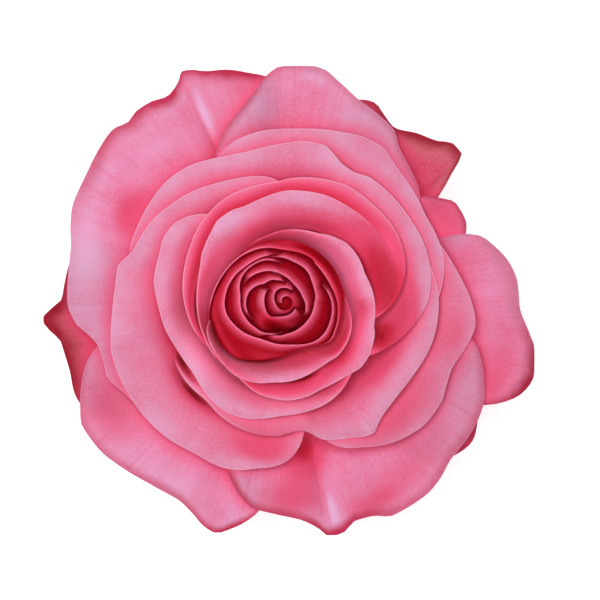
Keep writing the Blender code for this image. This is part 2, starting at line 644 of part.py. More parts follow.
def main():
    """Empties the scene and builds the calyx and every petal about the flower's axis."""
    for obj in list(bpy.data.objects):
        bpy.data.objects.remove(obj, do_unlink=True)
    make_calyx()
    for petal in HEART + OUTER:
        make_petal(petal)
    for obj in bpy.data.objects:
        obj.data.transform(Matrix.Translation(AXIS_FROM_BOX_CENTRE))


main()
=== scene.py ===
"""Looks of an opened pink rose head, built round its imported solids.

Every petal is a fine sheet on the same lines as its solid: rims, claws and the walls round
the heart come from the same tables, and the lips are laid under one another in the same
order. Angles are in degrees round the flower's axis, lengths in millimetres; Blender gets
metres.
"""

import logging
import math
from collections.abc import Iterable
from dataclasses import dataclass, field
from enum import Enum

import bpy
import numpy as np
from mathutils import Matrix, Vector


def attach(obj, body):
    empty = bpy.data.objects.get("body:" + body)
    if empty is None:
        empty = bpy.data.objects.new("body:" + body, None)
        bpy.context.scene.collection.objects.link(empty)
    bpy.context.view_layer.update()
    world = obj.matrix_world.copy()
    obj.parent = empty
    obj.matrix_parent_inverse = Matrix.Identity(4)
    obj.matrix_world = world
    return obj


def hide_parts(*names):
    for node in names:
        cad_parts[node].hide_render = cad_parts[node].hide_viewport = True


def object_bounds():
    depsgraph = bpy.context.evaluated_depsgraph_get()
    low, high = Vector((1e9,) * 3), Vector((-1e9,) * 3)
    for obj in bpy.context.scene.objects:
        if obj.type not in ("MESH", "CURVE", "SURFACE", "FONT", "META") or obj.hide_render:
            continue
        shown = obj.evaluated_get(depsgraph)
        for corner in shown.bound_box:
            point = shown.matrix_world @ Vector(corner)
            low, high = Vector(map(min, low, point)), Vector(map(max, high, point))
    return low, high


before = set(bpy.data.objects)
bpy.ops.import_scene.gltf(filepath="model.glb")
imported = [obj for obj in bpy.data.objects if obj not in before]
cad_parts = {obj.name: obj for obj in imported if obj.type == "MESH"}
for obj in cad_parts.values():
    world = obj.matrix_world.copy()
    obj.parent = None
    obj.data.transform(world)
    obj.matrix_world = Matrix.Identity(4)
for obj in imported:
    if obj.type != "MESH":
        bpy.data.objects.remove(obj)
CAD_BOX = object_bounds()

Table = tuple[tuple[float, float], ...]
Colour = tuple[float, float, float, float]
Piece = bpy.types.Object
Material = bpy.types.Material
Node = bpy.types.Node
Socket = bpy.types.NodeSocket

MM = 0.001
FULL_TURN = 360.0
HALF_TURN = 180.0
AXIS = (-0.78, -0.30)
UNLIT: Colour = (0.0, 0.0, 0.0, 1.0)
WHITE: Colour = (1.0, 1.0, 1.0, 1.0)

# Painted shade and highlight: a painted highlight below zero, and painted shade that deepens to
# pink at 1, red at 2 and dark at 3.
BRIGHTEST_PAINTED_HIGHLIGHT = -1.0
PINK_PAINTED_SHADE = 1.0
DARKEST_PAINTED_SHADE = 3.0

log = logging.getLogger("rose")


class Layer(Enum):
    """Where a petal stands in the bloom, which sets its lip's profile and its finish."""

    HEART = "heart"
    BOWL = "bowl"
    MIDDLE = "middle"
    OUTER = "outer"
    GUARD = "guard"


@dataclass(frozen=True)
class Fold:
    """A soft radial ridge in a lip, or a valley where its height is below zero."""

    angle: float
    inner: float
    outer: float
    height: float
    width: float = 5.0


@dataclass(frozen=True)
class Patch:
    """A soft patch on a petal, used for painted shade, painted highlights and painted glow.

    Its width is in degrees, and its depth runs along the radius.
    """

    angle: float
    width: float
    radius: float
    depth: float
    strength: float


@dataclass(frozen=True)
class Margin:
    """A crimson stretch of a petal's rim: its strength by angle, and its depth inwards."""

    strength: Table
    depth: float


@dataclass(frozen=True)
class PetalForm:
    """One petal as read from the photograph, round the flower's own axis.

    Attributes:
        node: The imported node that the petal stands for.
        ring: Radius at which its claw stands on the receptacle.
        claw: Direction of the claw.
        lift: How far its rim stands over the bloom's surface.
        rim: Radius of the rim by angle.
        slope: How steeply the lip falls to its rim.
        wall: Radius of the wall by angle; a heart petal's comes from its neighbours.
        tips: Angles at which the rim runs out to a point.
        low_sided: Whether its side margins begin low on the wall.
    """

    node: str
    ring: float
    claw: float
    lift: float
    rim: Table
    slope: float = 0.0
    wall: Table = ()
    tips: tuple[float, ...] = ()
    low_sided: bool = False

    @property
    def layer(self) -> Layer:
        """The layer that the node's name gives."""
        return Layer(self.node.split("_")[1])


# Read from the photograph: rims and walls are (angle, radius) pairs, in order.
HEART_FORMS: tuple[PetalForm, ...] = (
    PetalForm(
        "petal_heart_1", ring=0.9, claw=235, lift=-1,
        rim=((50, 2.7), (62, 2.85), (90, 3), (110, 3.05), (130, 2.9), (150, 2.6), (170, 2.25),
             (190, 2), (220, 1.85), (260, 1.8), (300, 1.7), (340, 1.6), (380, 1.5), (406, 1.4),
             (440, 1.25), (480, 1.0), (520, 0.75), (560, 0.45)),
    ),
    PetalForm(
        "petal_heart_2", ring=1.9, claw=225, lift=-0.6,
        rim=((138, 3.9), (150, 4.5), (165, 4.4), (190, 4.3), (210, 4.35), (225, 4.2), (240, 3.6),
             (255, 3.15), (270, 2.95), (288, 2.8), (300, 2.7), (318, 2.6), (336, 2.4)),
    ),
    PetalForm(
        "petal_heart_3", ring=1.9, claw=125, lift=-0.2,
        rim=((86, 3.9), (96, 4.4), (110, 4.9), (120, 5.4), (130, 5.6), (138, 5.8), (145, 6.4),
             (155, 7.2), (165, 7.8), (176, 8.1), (186, 8.2), (196, 8), (208, 7.5)),
    ),
    PetalForm(
        "petal_heart_4", ring=1.9, claw=25, lift=-0.2,
        rim=((-38, 4.3), (-28, 4.7), (-15, 4.5), (0, 4.2), (10, 3.95), (20, 3.8), (40, 3.85),
             (55, 4), (70, 4.4), (80, 4.9), (90, 5.4), (100, 6.1), (110, 6.8), (120, 7.5),
             (130, 8.1), (140, 8.7), (150, 9.1), (158, 9.2)),
    ),
    PetalForm(
        "petal_heart_5", ring=3, claw=150, lift=0,
        rim=((92, 7.7), (98, 8.3), (105, 8.9), (112, 9.5), (120, 9.9), (130, 10.2), (140, 10.4),
             (150, 10.4), (157, 10.2), (165, 9.8), (172, 9.4), (190, 9.2), (200, 8.9), (210, 8.6),
             (220, 8.2), (232, 7.9), (242, 7.5), (250, 7.1), (258, 6.7), (264, 6.3)),
    ),
    PetalForm(
        "petal_heart_6", ring=3, claw=330, lift=0,
        rim=((238, 7.9), (246, 7.6), (254, 7.3), (262, 7.1), (277, 6.6), (290, 6.4), (300, 6.25),
             (320, 6.1), (340, 6.1), (357, 6.15), (370, 6.55), (382, 6.65), (392, 6.9),
             (400, 7.2), (410, 7.75), (420, 8.15), (430, 8.4), (440, 8.7), (448, 9.1),
             (456, 9.45), (464, 9.8), (472, 10.1)),
    ),
    PetalForm(
        "petal_heart_7", ring=3, claw=240, lift=0,
        rim=((96, 9.9), (104, 10.2), (112, 10.4), (120, 10.6), (130, 10.85), (140, 11.15),
             (146, 11.5), (152, 11.8), (160, 12.1), (170, 12.4), (182, 12.6), (190, 12.45),
             (198, 12), (206, 11.4), (216, 10.7), (226, 9.9), (238, 9.15), (250, 8.9), (270, 8.9),
             (280, 9.05), (290, 9.5), (300, 10), (310, 10.4), (320, 10.5), (335, 10.3), (350, 10),
             (358, 9.8), (368, 9.4), (378, 8.9), (388, 8.3)),
    ),
    PetalForm(
        "petal_heart_8", ring=3, claw=60, lift=0.2,
        rim=((308, 11.2), (314, 12), (320, 12.35), (326, 12.2), (330, 11.95), (340, 11.6),
             (350, 11.2), (360, 10.9), (370, 10.5), (380, 10.15), (396, 10), (410, 10.15),
             (418, 10.65), (430, 10.75), (442, 10.75), (452, 10.95), (465, 11.7), (475, 12.3),
             (485, 12.8), (495, 13.3), (505, 13.7), (515, 14.1), (525, 14.6), (532, 15),
             (540, 15.5), (548, 16), (554, 16.3)),
    ),
)
OUTER_FORMS: tuple[PetalForm, ...] = (
    PetalForm(
        "petal_bowl_1", ring=3.9, claw=262, lift=0, slope=16,
        wall=((194, 15.9), (215, 16.4), (226, 16), (240, 14.3), (255, 12.6), (270, 11.3),
              (284, 10.6), (298, 10.7), (308, 11.7), (314, 12.5), (322, 12.8), (350, 12.4),
              (364, 12.3)),
        rim=((194, 16.3), (201, 17.5), (212, 18), (225, 18.3), (235, 18.5), (245, 18.2),
             (254, 17.6), (262, 16.9), (272, 16.6), (284, 16.1), (294, 15.6), (305, 15.4),
             (315, 15.7), (326, 15.5), (337, 15), (345, 14.4), (354, 13.5), (364, 12.6)),
    ),
    PetalForm(
        "petal_bowl_2", ring=3.9, claw=352, lift=0, slope=22,
        wall=((226, 16.5), (242, 16.4), (256, 15.9), (270, 14.7), (286, 13.9), (300, 13.7),
              (356, 13.7), (368, 12.9), (376, 12.6), (400, 12.7), (464, 13.4), (494, 13.8)),
        rim=((226, 17.4), (234, 18.1), (242, 18.8), (248, 19.4), (254, 19.9), (262, 20.2),
             (272, 20.5), (282, 20.3), (294, 19.7), (303, 19.8), (312, 20.2), (320, 20.9),
             (327, 20.8), (335, 20.3), (341, 19.8), (345, 19.2), (355, 18.9), (363, 18.6),
             (372, 18.1), (380, 17.7), (392, 17.9), (402, 17.8), (410, 17.2), (417, 16.6),
             (424, 15.9), (434, 15.5), (447, 15.1), (456, 14.8), (464, 14.4), (474, 14.2),
             (494, 14.1)),
    ),
    PetalForm(
        "petal_bowl_3", ring=3.9, claw=150, lift=-0.3, slope=24,
        wall=((-14, 15.2), (34, 15), (96, 14.7), (106, 13.9), (120, 13.6), (130, 13.7), (140, 14),
              (150, 14.4), (160, 14.9), (170, 15.4), (180, 16), (195, 16.9), (232, 16.9)),
        rim=((-14, 17.2), (-8, 19.3), (-2, 21.2), (4, 22.5), (12, 23.5), (22, 24.1), (34, 24.3),
             (46, 24.15), (56, 23.9), (68, 23.85), (80, 23.5), (90, 23.2), (97, 22.6), (105, 22),
             (113, 21.7), (121, 22.1), (129, 22.1), (135, 21.4), (142, 20.7), (150, 20),
             (157, 19.2), (166, 18.7), (178, 18.45), (192, 18.4), (204, 18.4), (216, 18.5),
             (224, 18.3), (231, 17.3)),
    ),
    PetalForm(
        "petal_bowl_4", ring=3.9, claw=75, lift=0, slope=24,
        wall=((-14, 16.3), (24, 16), (140, 16.45), (170, 17.1), (190, 17.35), (214, 17.35)),
        rim=((-14, 17.8), (-8, 20), (-2, 22.2), (6, 24.3), (14, 25.9), (22, 26.9), (30, 27.4),
             (37, 27.6), (48, 27.5), (60, 27.6), (70, 27.1), (79, 26.5), (88, 25.8), (95, 25.1),
             (106, 25.1), (115, 25.1), (123, 24.9), (131, 24.4), (139, 23.9), (148, 23.1),
             (156, 22.5), (166, 21.9), (176, 21.3), (186, 20.6), (196, 19.9), (206, 19),
             (214, 18)),
    ),
    PetalForm(
        "petal_middle_1", ring=4.9, claw=157.5, lift=0, slope=24,
        wall=((118, 17.4), (150, 17.8), (170, 18.2), (188, 18.95), (198, 18.5), (206, 18),
              (262, 17.9), (318, 17.9)),
        rim=((118, 20.5), (125, 22.8), (131, 24.4), (135, 25.9), (140, 27.4), (146, 28.5),
             (152, 28.7), (160, 28.1), (170, 27.8), (178, 26.9), (186, 26.1), (193, 25.6),
             (200, 24.9), (208, 24.4), (216, 24.2), (224, 24.7), (232, 25.5), (242, 26),
             (252, 25.6), (260, 24.7), (268, 23.8), (278, 23.4), (290, 23), (300, 22.2),
             (310, 20.9), (318, 19.6)),
    ),
    PetalForm(
        "petal_middle_2", ring=4.9, claw=45, lift=0, slope=20,
        wall=((-40, 17.3), (-16, 17.1), (8, 17.2), (30, 17.8), (60, 19.2), (90, 20.45),
              (150, 20.5), (174, 20.7)),
        rim=((-40, 18.3), (-32, 21), (-24, 23.4), (-16, 25.7), (-8, 27.9), (0, 29.8), (9, 30.9),
             (17, 31.4), (25, 31.6), (35, 31.5), (46, 31.6), (55, 31.6), (62, 30.8), (67, 31.2),
             (71, 32.4), (76, 33.9), (82, 34), (90, 33.3), (97, 32.8), (104, 32.5), (111, 32.9),
             (119, 34), (127, 35.1), (135, 35.5), (144, 35.2), (152, 34.8), (159, 34.6),
             (165, 33.6), (170, 27), (174, 20.9)),
    ),
    PetalForm(
        "petal_middle_3", ring=4.9, claw=292.5, lift=0, slope=26,
        wall=((196, 19.75), (210, 19.1), (247, 19.1), (262, 18.3), (355, 18.3), (376, 18.45),
              (388, 18.6)),
        rim=((196, 19.4), (203, 24.5), (210, 26.2), (220, 26.5), (230, 26.3), (240, 27.3),
             (248, 27.9), (257, 28.2), (267, 28), (272, 27.3), (277, 27), (281, 27.9),
             (285, 29.7), (291, 30.8), (297, 31.8), (301, 32.8), (304, 33.1), (308, 31.9),
             (313, 31), (321, 30.6), (329, 30.8), (337, 31.4), (346, 32), (356, 32.2),
             (364, 32.1), (372, 31.6), (380, 30.6), (388, 29)),
    ),
    PetalForm(
        "petal_middle_4", ring=4.9, claw=225, lift=0, slope=24,
        wall=((80, 19.3), (88, 19.4), (172, 19.5), (188, 20.2), (196, 20.85), (210, 20.2),
              (284, 20.1)),
        rim=((80, 22.5), (88, 24.2), (93, 25.3), (98, 26.4), (104, 27.1), (112, 27.8),
             (120, 28.7), (130, 30.2), (140, 31.5), (148, 32.6), (156, 33.2), (161, 33.6),
             (165, 34.9), (168, 35.9), (174, 35.8), (182, 36.2), (190, 37.1), (197, 38),
             (206, 38.2), (218, 38.1), (228, 37.8), (240, 37), (248, 37.2), (254, 36.7),
             (260, 35.5), (267, 34.4), (272, 32.8), (276, 30.2), (280, 25.5), (284, 20.4)),
    ),
    PetalForm(
        "petal_middle_5", ring=4.9, claw=337.5, lift=0, slope=22,
        wall=((278, 21.2), (286, 21.2), (300, 20.4), (386, 20.4), (400, 20.6)),
        rim=((278, 20.7), (283, 27), (288, 31.2), (293, 33.2), (298, 34.5), (304, 36.3),
             (309, 37.5), (314, 38.4), (320, 39.1), (327, 39), (333, 38.1), (338, 37.7),
             (343, 38.5), (348, 39.6), (353, 40.3), (359, 39.4), (366, 37.7), (373, 36.1),
             (379, 35), (386, 33.8), (394, 31), (400, 27)),
    ),
    PetalForm(
        "petal_middle_6", ring=4.9, claw=97.5, lift=0, slope=20,
        wall=((-14, 19.4), (24, 19.4), (60, 20.5), (90, 21.7), (122, 21.8)),
        rim=((-14, 26), (-8, 29.3), (-2, 31.3), (4, 32.7), (10, 33.8), (16, 34.6), (23, 34.7),
             (31, 34.6), (38, 35.3), (45, 36), (52, 37.1), (58, 38.5), (64, 38.4), (72, 37.6),
             (80, 36.9), (88, 36.4), (96, 36.3), (104, 35.8), (110, 34.9), (115, 33.6), (119, 29),
             (122, 21.9)),
    ),
    PetalForm(
        "petal_outer_1", ring=5.9, claw=75, lift=0, slope=24,
        wall=((30, 21.9), (60, 22.3), (85, 22.75), (102, 22.75), (124, 22.6)),
        rim=((30, 22.8), (34, 33.5), (40, 36.7), (47, 38.5), (53, 40.2), (58, 43), (64, 44.2),
             (70, 45.4), (76, 47.8), (81, 50), (86, 50.4), (91, 49.9), (95, 47.8), (98, 45),
             (102, 42.3), (107, 39.5), (113, 36), (119, 31), (124, 25)),
    ),
    PetalForm(
        "petal_outer_2", ring=5.9, claw=142.5, lift=0, slope=22, tips=(115,),
        wall=((84, 23.9), (120, 23.5), (212, 23.4), (232, 22.7), (240, 22.5)),
        rim=((84, 23.8), (89, 41), (94, 47.5), (99, 49), (104, 50.6), (109, 51.6), (112, 53),
             (114, 53.5), (116, 51.7), (120, 50.1), (124, 51), (128, 51.2), (131, 50.5),
             (135, 51.6), (141, 50.9), (149, 49.8), (155, 49.4), (160, 48.2), (166, 46.6),
             (173, 46.1), (180, 45.9), (186, 44.2), (190, 41.6), (194, 40.2), (198, 40.2),
             (203, 40.6), (208, 39.2), (214, 38), (222, 36.5), (232, 32), (240, 25)),
    ),
    PetalForm(
        "petal_outer_3", ring=5.9, claw=292.5, lift=0, slope=22, tips=(281.5,),
        wall=((236, 21.3), (266, 21.5), (278, 22.3), (288, 22.3), (300, 21.5), (356, 21.5)),
        rim=((236, 25), (242, 30), (248, 35), (254, 39.8), (258, 42.5), (261, 43.9), (267, 44.7),
             (274, 46), (278, 48), (281, 50.5), (284, 50.3), (288, 48.5), (292, 48.8),
             (297, 50.6), (306, 50.5), (311, 49.7), (317, 48.2), (325, 48), (332, 47.3),
             (338, 45.3), (344, 42.9), (349, 40), (353, 33.5), (356, 21.7)),
    ),
    PetalForm(
        "petal_outer_4", ring=6.6, claw=232.5, lift=-0.6, slope=24, tips=(252,),
        wall=((188, 24.5), (208, 24.5), (250, 23), (272, 22.9)),
        rim=((188, 24.8), (192, 39), (197, 43.8), (202, 46.4), (207, 48.6), (212, 50.3),
             (218, 50.2), (226, 49), (234, 47.8), (241, 47.4), (246, 48.6), (250, 50.4),
             (253, 51), (257, 49), (260, 47), (264, 43), (270, 22.8)),
    ),
    PetalForm(
        "petal_guard_1", ring=6.6, claw=352.5, lift=-0.8, slope=20, low_sided=True,
        wall=((-34, 22.6), (28, 22.6)),
        rim=((-34, 22.8), (-31, 40), (-28, 46.5), (-25, 50.5), (-21, 53.8), (-17, 55),
             (-12, 54.4), (-7, 52), (-1, 49.6), (5, 49.3), (10, 48.1), (15, 45.7), (19, 43.2),
             (21, 40), (23, 34), (26, 22.8)),
    ),
    PetalForm(
        "petal_guard_2", ring=7.2, claw=30, lift=-1.5, slope=24,
        wall=((10, 24), (46, 23.5)),
        rim=((10, 23.8), (14, 36), (19, 40), (25, 41.8), (30, 41.6), (34, 39.2), (38, 36.2),
             (42, 32), (46, 23.8)),
    ),
    PetalForm(
        "petal_guard_3", ring=7.2, claw=60, lift=-2.2, slope=20, tips=(41,),
        wall=((28, 24.8), (60, 24.5), (80, 24.9)),
        rim=((28, 24.8), (32, 34), (35, 40.2), (38, 45), (40, 48.8), (43, 48.9), (47, 46.7),
             (52, 45.3), (58, 43.5), (62, 44.7), (66, 46.2), (71, 45.2), (76, 39), (80, 24.8)),
    ),
    PetalForm(
        "petal_guard_4", ring=7.3, claw=187.5, lift=-2, slope=16, tips=(184,),
        wall=((158, 26), (220, 26)),
        rim=((158, 25.8), (163, 42), (169, 46.2), (175, 46.8), (179, 47.2), (182, 50),
             (184, 51.6), (187, 50.2), (190, 48.2), (197, 47.8), (204, 48.6), (210, 47.5),
             (216, 41), (220, 25.8)),
    ),
    PetalForm(
        "petal_guard_5", ring=7.3, claw=315, lift=-2.4, slope=22,
        wall=((302, 24.1), (350, 24.1)),
        rim=((302, 23.9), (307, 40), (313, 46.2), (318, 48.4), (323, 49.4), (328, 48),
             (335, 44.5), (344, 38), (350, 23.9)),
    ),
)
# Ridges and valleys in the lips.
FOLDS: dict[str, tuple[Fold, ...]] = {
    "petal_middle_3": (Fold(211.0, 26.0, 24.6, -6.0, 9.0), Fold(303.0, 27.0, 31.0, 1.0, 2.5)),
    "petal_middle_4": (Fold(224.0, 28.3, 26.6, -6.0, 11.0),),
    "petal_outer_2": (Fold(117.0, 36.0, 50.0, -1.2, 3.5), Fold(146.0, 36.0, 39.0, -0.8, 4.0)),
}
# Painted shade in gaps and troughs, and painted highlights on lit lips.
PAINTED_SHADE_AND_HIGHLIGHTS: dict[str, tuple[Patch, ...]] = {
    "petal_heart_1": (Patch(320.0, 90.0, 1.2, 1.1, 2.2),),
    "petal_heart_2": (Patch(250.0, 38.0, 5.6, 1.5, 3.0), Patch(175.0, 26.0, 5.2, 1.2, -1.0)),
    "petal_heart_3": (Patch(175.0, 36.0, 7.0, 1.4, -0.8),),
    "petal_heart_4": (Patch(300.0, 30.0, 8.4, 1.0, -1.0),),
    "petal_heart_7": (
        Patch(272.0, 26.0, 12.9, 1.6, 2.7),
        Patch(205.0, 40.0, 16.3, 1.5, 2.5),
        Patch(158.0, 18.0, 14.4, 1.4, 2.3),
    ),
    "petal_heart_8": (Patch(42.0, 50.0, 11.9, 1.3, 2.9),),
    "petal_bowl_1": (
        Patch(350.0, 16.0, 13.0, 1.6, 1.2),
        Patch(230.0, 26.0, 17.6, 1.6, 0.8),
        Patch(286.0, 22.0, 13.0, 1.4, 0.8),
        Patch(285.0, 40.0, 6.2, 2.0, 4.0),
    ),
    "petal_bowl_2": (
        Patch(275.0, 28.0, 17.8, 1.6, 1.5),
        Patch(45.0, 46.0, 14.0, 1.7, 0.5),
        Patch(100.0, 20.0, 14.4, 1.6, 0.9),
        Patch(281.0, 16.0, 16.3, 0.7, 2.8),
        Patch(344.0, 16.0, 17.2, 2.2, -0.8),
        Patch(322.0, 20.0, 18.6, 2.0, -0.4),
        Patch(2.0, 14.0, 16.0, 1.6, -0.5),
    ),
    "petal_bowl_3": (
        Patch(10.0, 38.0, 21.2, 4.4, 2.35),
        Patch(30.0, 20.0, 17.4, 0.9, 2.4),
        Patch(66.0, 14.0, 15.9, 0.8, 2.4),
        Patch(142.0, 26.0, 16.4, 2.2, -0.5),
        Patch(98.0, 22.0, 18.0, 2.0, -0.4),
        Patch(170.0, 20.0, 18.4, 1.6, -0.7),
        Patch(124.0, 14.0, 20.4, 2.4, -0.6),
        Patch(76.0, 18.0, 21.6, 2.2, -0.5),
    ),
    "petal_bowl_4": (Patch(182.0, 22.0, 18.6, 0.8, 2.9), Patch(2.0, 34.0, 23.2, 4.2, 2.2)),
    "petal_middle_1": (Patch(300.0, 14.0, 20.5, 1.5, 1.0), Patch(212.0, 36.0, 20.4, 3.0, -1.0)),
    "petal_middle_2": (Patch(-8.0, 32.0, 25.0, 3.6, 1.4), Patch(-20.0, 9.0, 21.0, 2.4, 2.2)),
    "petal_middle_3": (
        Patch(-28.0, 26.0, 23.0, 4.0, 1.3),
        Patch(210.0, 9.0, 25.1, 0.8, 3.0),
        Patch(303.0, 1.8, 31.0, 2.6, -0.45),
        Patch(266.0, 28.0, 27.5, 3.4, 0.65),
        Patch(285.0, 40.0, 6.0, 2.0, 4.0),
    ),
    "petal_middle_4": (
        Patch(225.0, 10.0, 27.5, 0.8, 3.0),
        Patch(260.0, 13.0, 31.0, 3.5, 1.1),
        Patch(222.0, 20.0, 34.0, 4.0, -0.25),
    ),
    "petal_middle_5": (Patch(315.0, 22.0, 34.0, 4.5, 0.7), Patch(-9.0, 10.0, 36.5, 3.5, 0.6)),
    "petal_outer_1": (Patch(56.0, 25.0, 40.0, 5.0, -0.3),),
    "petal_outer_2": (
        Patch(150.0, 10.0, 37.4, 4.8, 1.15),
        Patch(166.0, 14.0, 43.0, 6.0, -0.7),
        Patch(113.0, 1.6, 44.0, 6.0, -0.9),
        Patch(128.0, 12.0, 42.0, 4.0, -0.4),
        Patch(100.0, 10.0, 47.0, 4.0, 0.5),
    ),
    "petal_outer_3": (
        Patch(277.0, 7.0, 31.0, 5.0, 2.0),
        Patch(272.0, 10.0, 41.0, 5.0, 0.8),
        Patch(283.0, 1.5, 45.0, 4.5, -1.4),
        Patch(294.0, 9.0, 46.5, 3.0, 0.6),
        Patch(312.0, 24.0, 44.0, 5.0, 0.45),
    ),
    "petal_outer_4": (
        Patch(268.0, 8.0, 34.0, 5.0, 1.2),
        Patch(212.0, 12.0, 43.0, 6.0, 0.7),
        Patch(240.0, 14.0, 44.0, 5.0, -0.3),
    ),
    "petal_guard_1": (Patch(-20.0, 14.0, 47.0, 5.0, 0.6),),
    "petal_guard_2": (Patch(28.0, 20.0, 38.0, 6.0, 0.8),),
}
# Painted glow: where the thin inner lips emit light, in place of light shining through them.
GLOWS: dict[str, tuple[Patch, ...]] = {
    "petal_bowl_1": (Patch(230.0, 18.0, 17.2, 1.4, 0.4),),
    "petal_bowl_2": (Patch(30.0, 44.0, 14.2, 1.8, 0.95), Patch(2.0, 18.0, 16.2, 1.6, 0.35)),
    "petal_bowl_3": (
        Patch(148.0, 28.0, 16.2, 2.2, 0.8),
        Patch(176.0, 12.0, 17.8, 1.4, 0.6),
        Patch(96.0, 26.0, 18.0, 2.2, 0.5),
    ),
    "petal_middle_1": (Patch(216.0, 24.0, 21.0, 2.0, 0.9), Patch(264.0, 20.0, 20.8, 1.3, 0.5)),
}
# Crimson rims: (angle, strength) pairs, and how far in they reach.
MARGINS: dict[str, Margin] = {
    "petal_outer_1": Margin(((30, 0.3), (42, 0.6), (56, 0.5), (66, 0.3), (90, 0.5),
                             (102, 0.7)), 2.4),
    "petal_outer_2": Margin(((84, 0.8), (95, 1.0), (112, 1.0), (130, 0.9), (148, 0.5), (160, 0.1),
                             (212, 0.1)), 4.0),
    "petal_outer_3": Margin(((252, 0.9), (270, 0.8), (282, 1.0), (300, 0.6), (356, 0.5)), 2.8),
    "petal_outer_4": Margin(((188, 0.3), (225, 0.5), (245, 0.7), (255, 1.0), (272, 0.8)), 2.4),
    "petal_guard_1": Margin(((-34, 1.0), (-22, 1.0), (-12, 0.9), (-4, 0.4), (28, 0.3)), 4.5),
    "petal_guard_2": Margin(((10, 0.7), (46, 0.8)), 1.8),
    "petal_guard_3": Margin(((28, 0.9), (80, 1.0)), 3.6),
    "petal_guard_4": Margin(((158, 1.0), (220, 1.0)), 6.0),
    "petal_guard_5": Margin(((302, 1.0), (350, 1.0)), 7.0),
}


def smooth(x: np.ndarray) -> np.ndarray:
    """Smoothstep.

    Args:
        x: Any values.

    Returns:
        The values held to 0..1 and eased at both ends.
    """
    x = np.clip(x, 0.0, 1.0)
    return x * x * (3.0 - 2.0 * x)


def signed_turn(angle: np.ndarray | float) -> np.ndarray | float:
    """The same direction, given within half a turn of zero."""
    return (angle + HALF_TURN) % FULL_TURN - HALF_TURN


def on_axis(height: float) -> tuple[float, float, float]:
    """The place on the flower's axis at a height, in metres."""
    return AXIS[0] * MM, AXIS[1] * MM, height * MM


def cubic(t: np.ndarray, handles: Iterable[np.ndarray | float]) -> np.ndarray:
    """A cubic curve's value at each share of its length.

    Args:
        t: Shares of the length.
        handles: The values of its four handles.

    Returns:
        The value at each share.
    """
    weights = ((1 - t) ** 3, 3 * t * (1 - t) ** 2, 3 * t * t * (1 - t), t**3)
    return sum(weight * handle for weight, handle in zip(weights, handles))


def curve_through(points: Table, at: np.ndarray) -> np.ndarray:
    """Monotone cubic through a table, held beyond its ends.

    Args:
        points: (angle, value) pairs in order.
        at: Angles to read.

    Returns:
        The value at each angle.
    """
    x, y = np.array(points, float).T
    at = np.clip(np.asarray(at, float), x[0], x[-1])
    step = np.diff(x)
    rise = np.diff(y) / step
    tangent = np.zeros_like(y)
    first = 2 * step[1:] + step[:-1]
    second = step[1:] + 2 * step[:-1]
    with np.errstate(divide="ignore", invalid="ignore"):
        mean = (first + second) / (first / rise[:-1] + second / rise[1:])
    tangent[1:-1] = np.where(rise[:-1] * rise[1:] > 0, mean, 0.0)
    tangent[0], tangent[-1] = rise[0], rise[-1]
    i = np.clip(np.searchsorted(x, at, side="right") - 1, 0, len(step) - 1)
    h = step[i]
    t = (at - x[i]) / h
    return (
        (1 + 2 * t) * (1 - t) ** 2 * y[i]
        + t * (1 - t) ** 2 * h * tangent[i]
        + t * t * (3 - 2 * t) * y[i + 1]
        + t * t * (t - 1) * h * tangent[i + 1]
    )


@dataclass(frozen=True)
class Crown:
    """The bloom's upper surface: the height of a rim by its distance from the axis."""

    top: float = 54.0
    top_radius: float = 10.0
    curve: float = 0.0135
    turn_radius: float = 29.0
    outer_slope: float = 0.56

    def height(self, radius: np.ndarray) -> np.ndarray:
        """Height of the surface.

        Args:
            radius: Distances from the axis.

        Returns:
            The height at each.
        """
        inner = self.top - self.curve * (radius - self.top_radius) ** 2
        turn = self.top - self.curve * (self.turn_radius - self.top_radius) ** 2
        outer = turn - self.outer_slope * (radius - self.turn_radius)
        return np.where(radius < self.turn_radius, inner, outer)


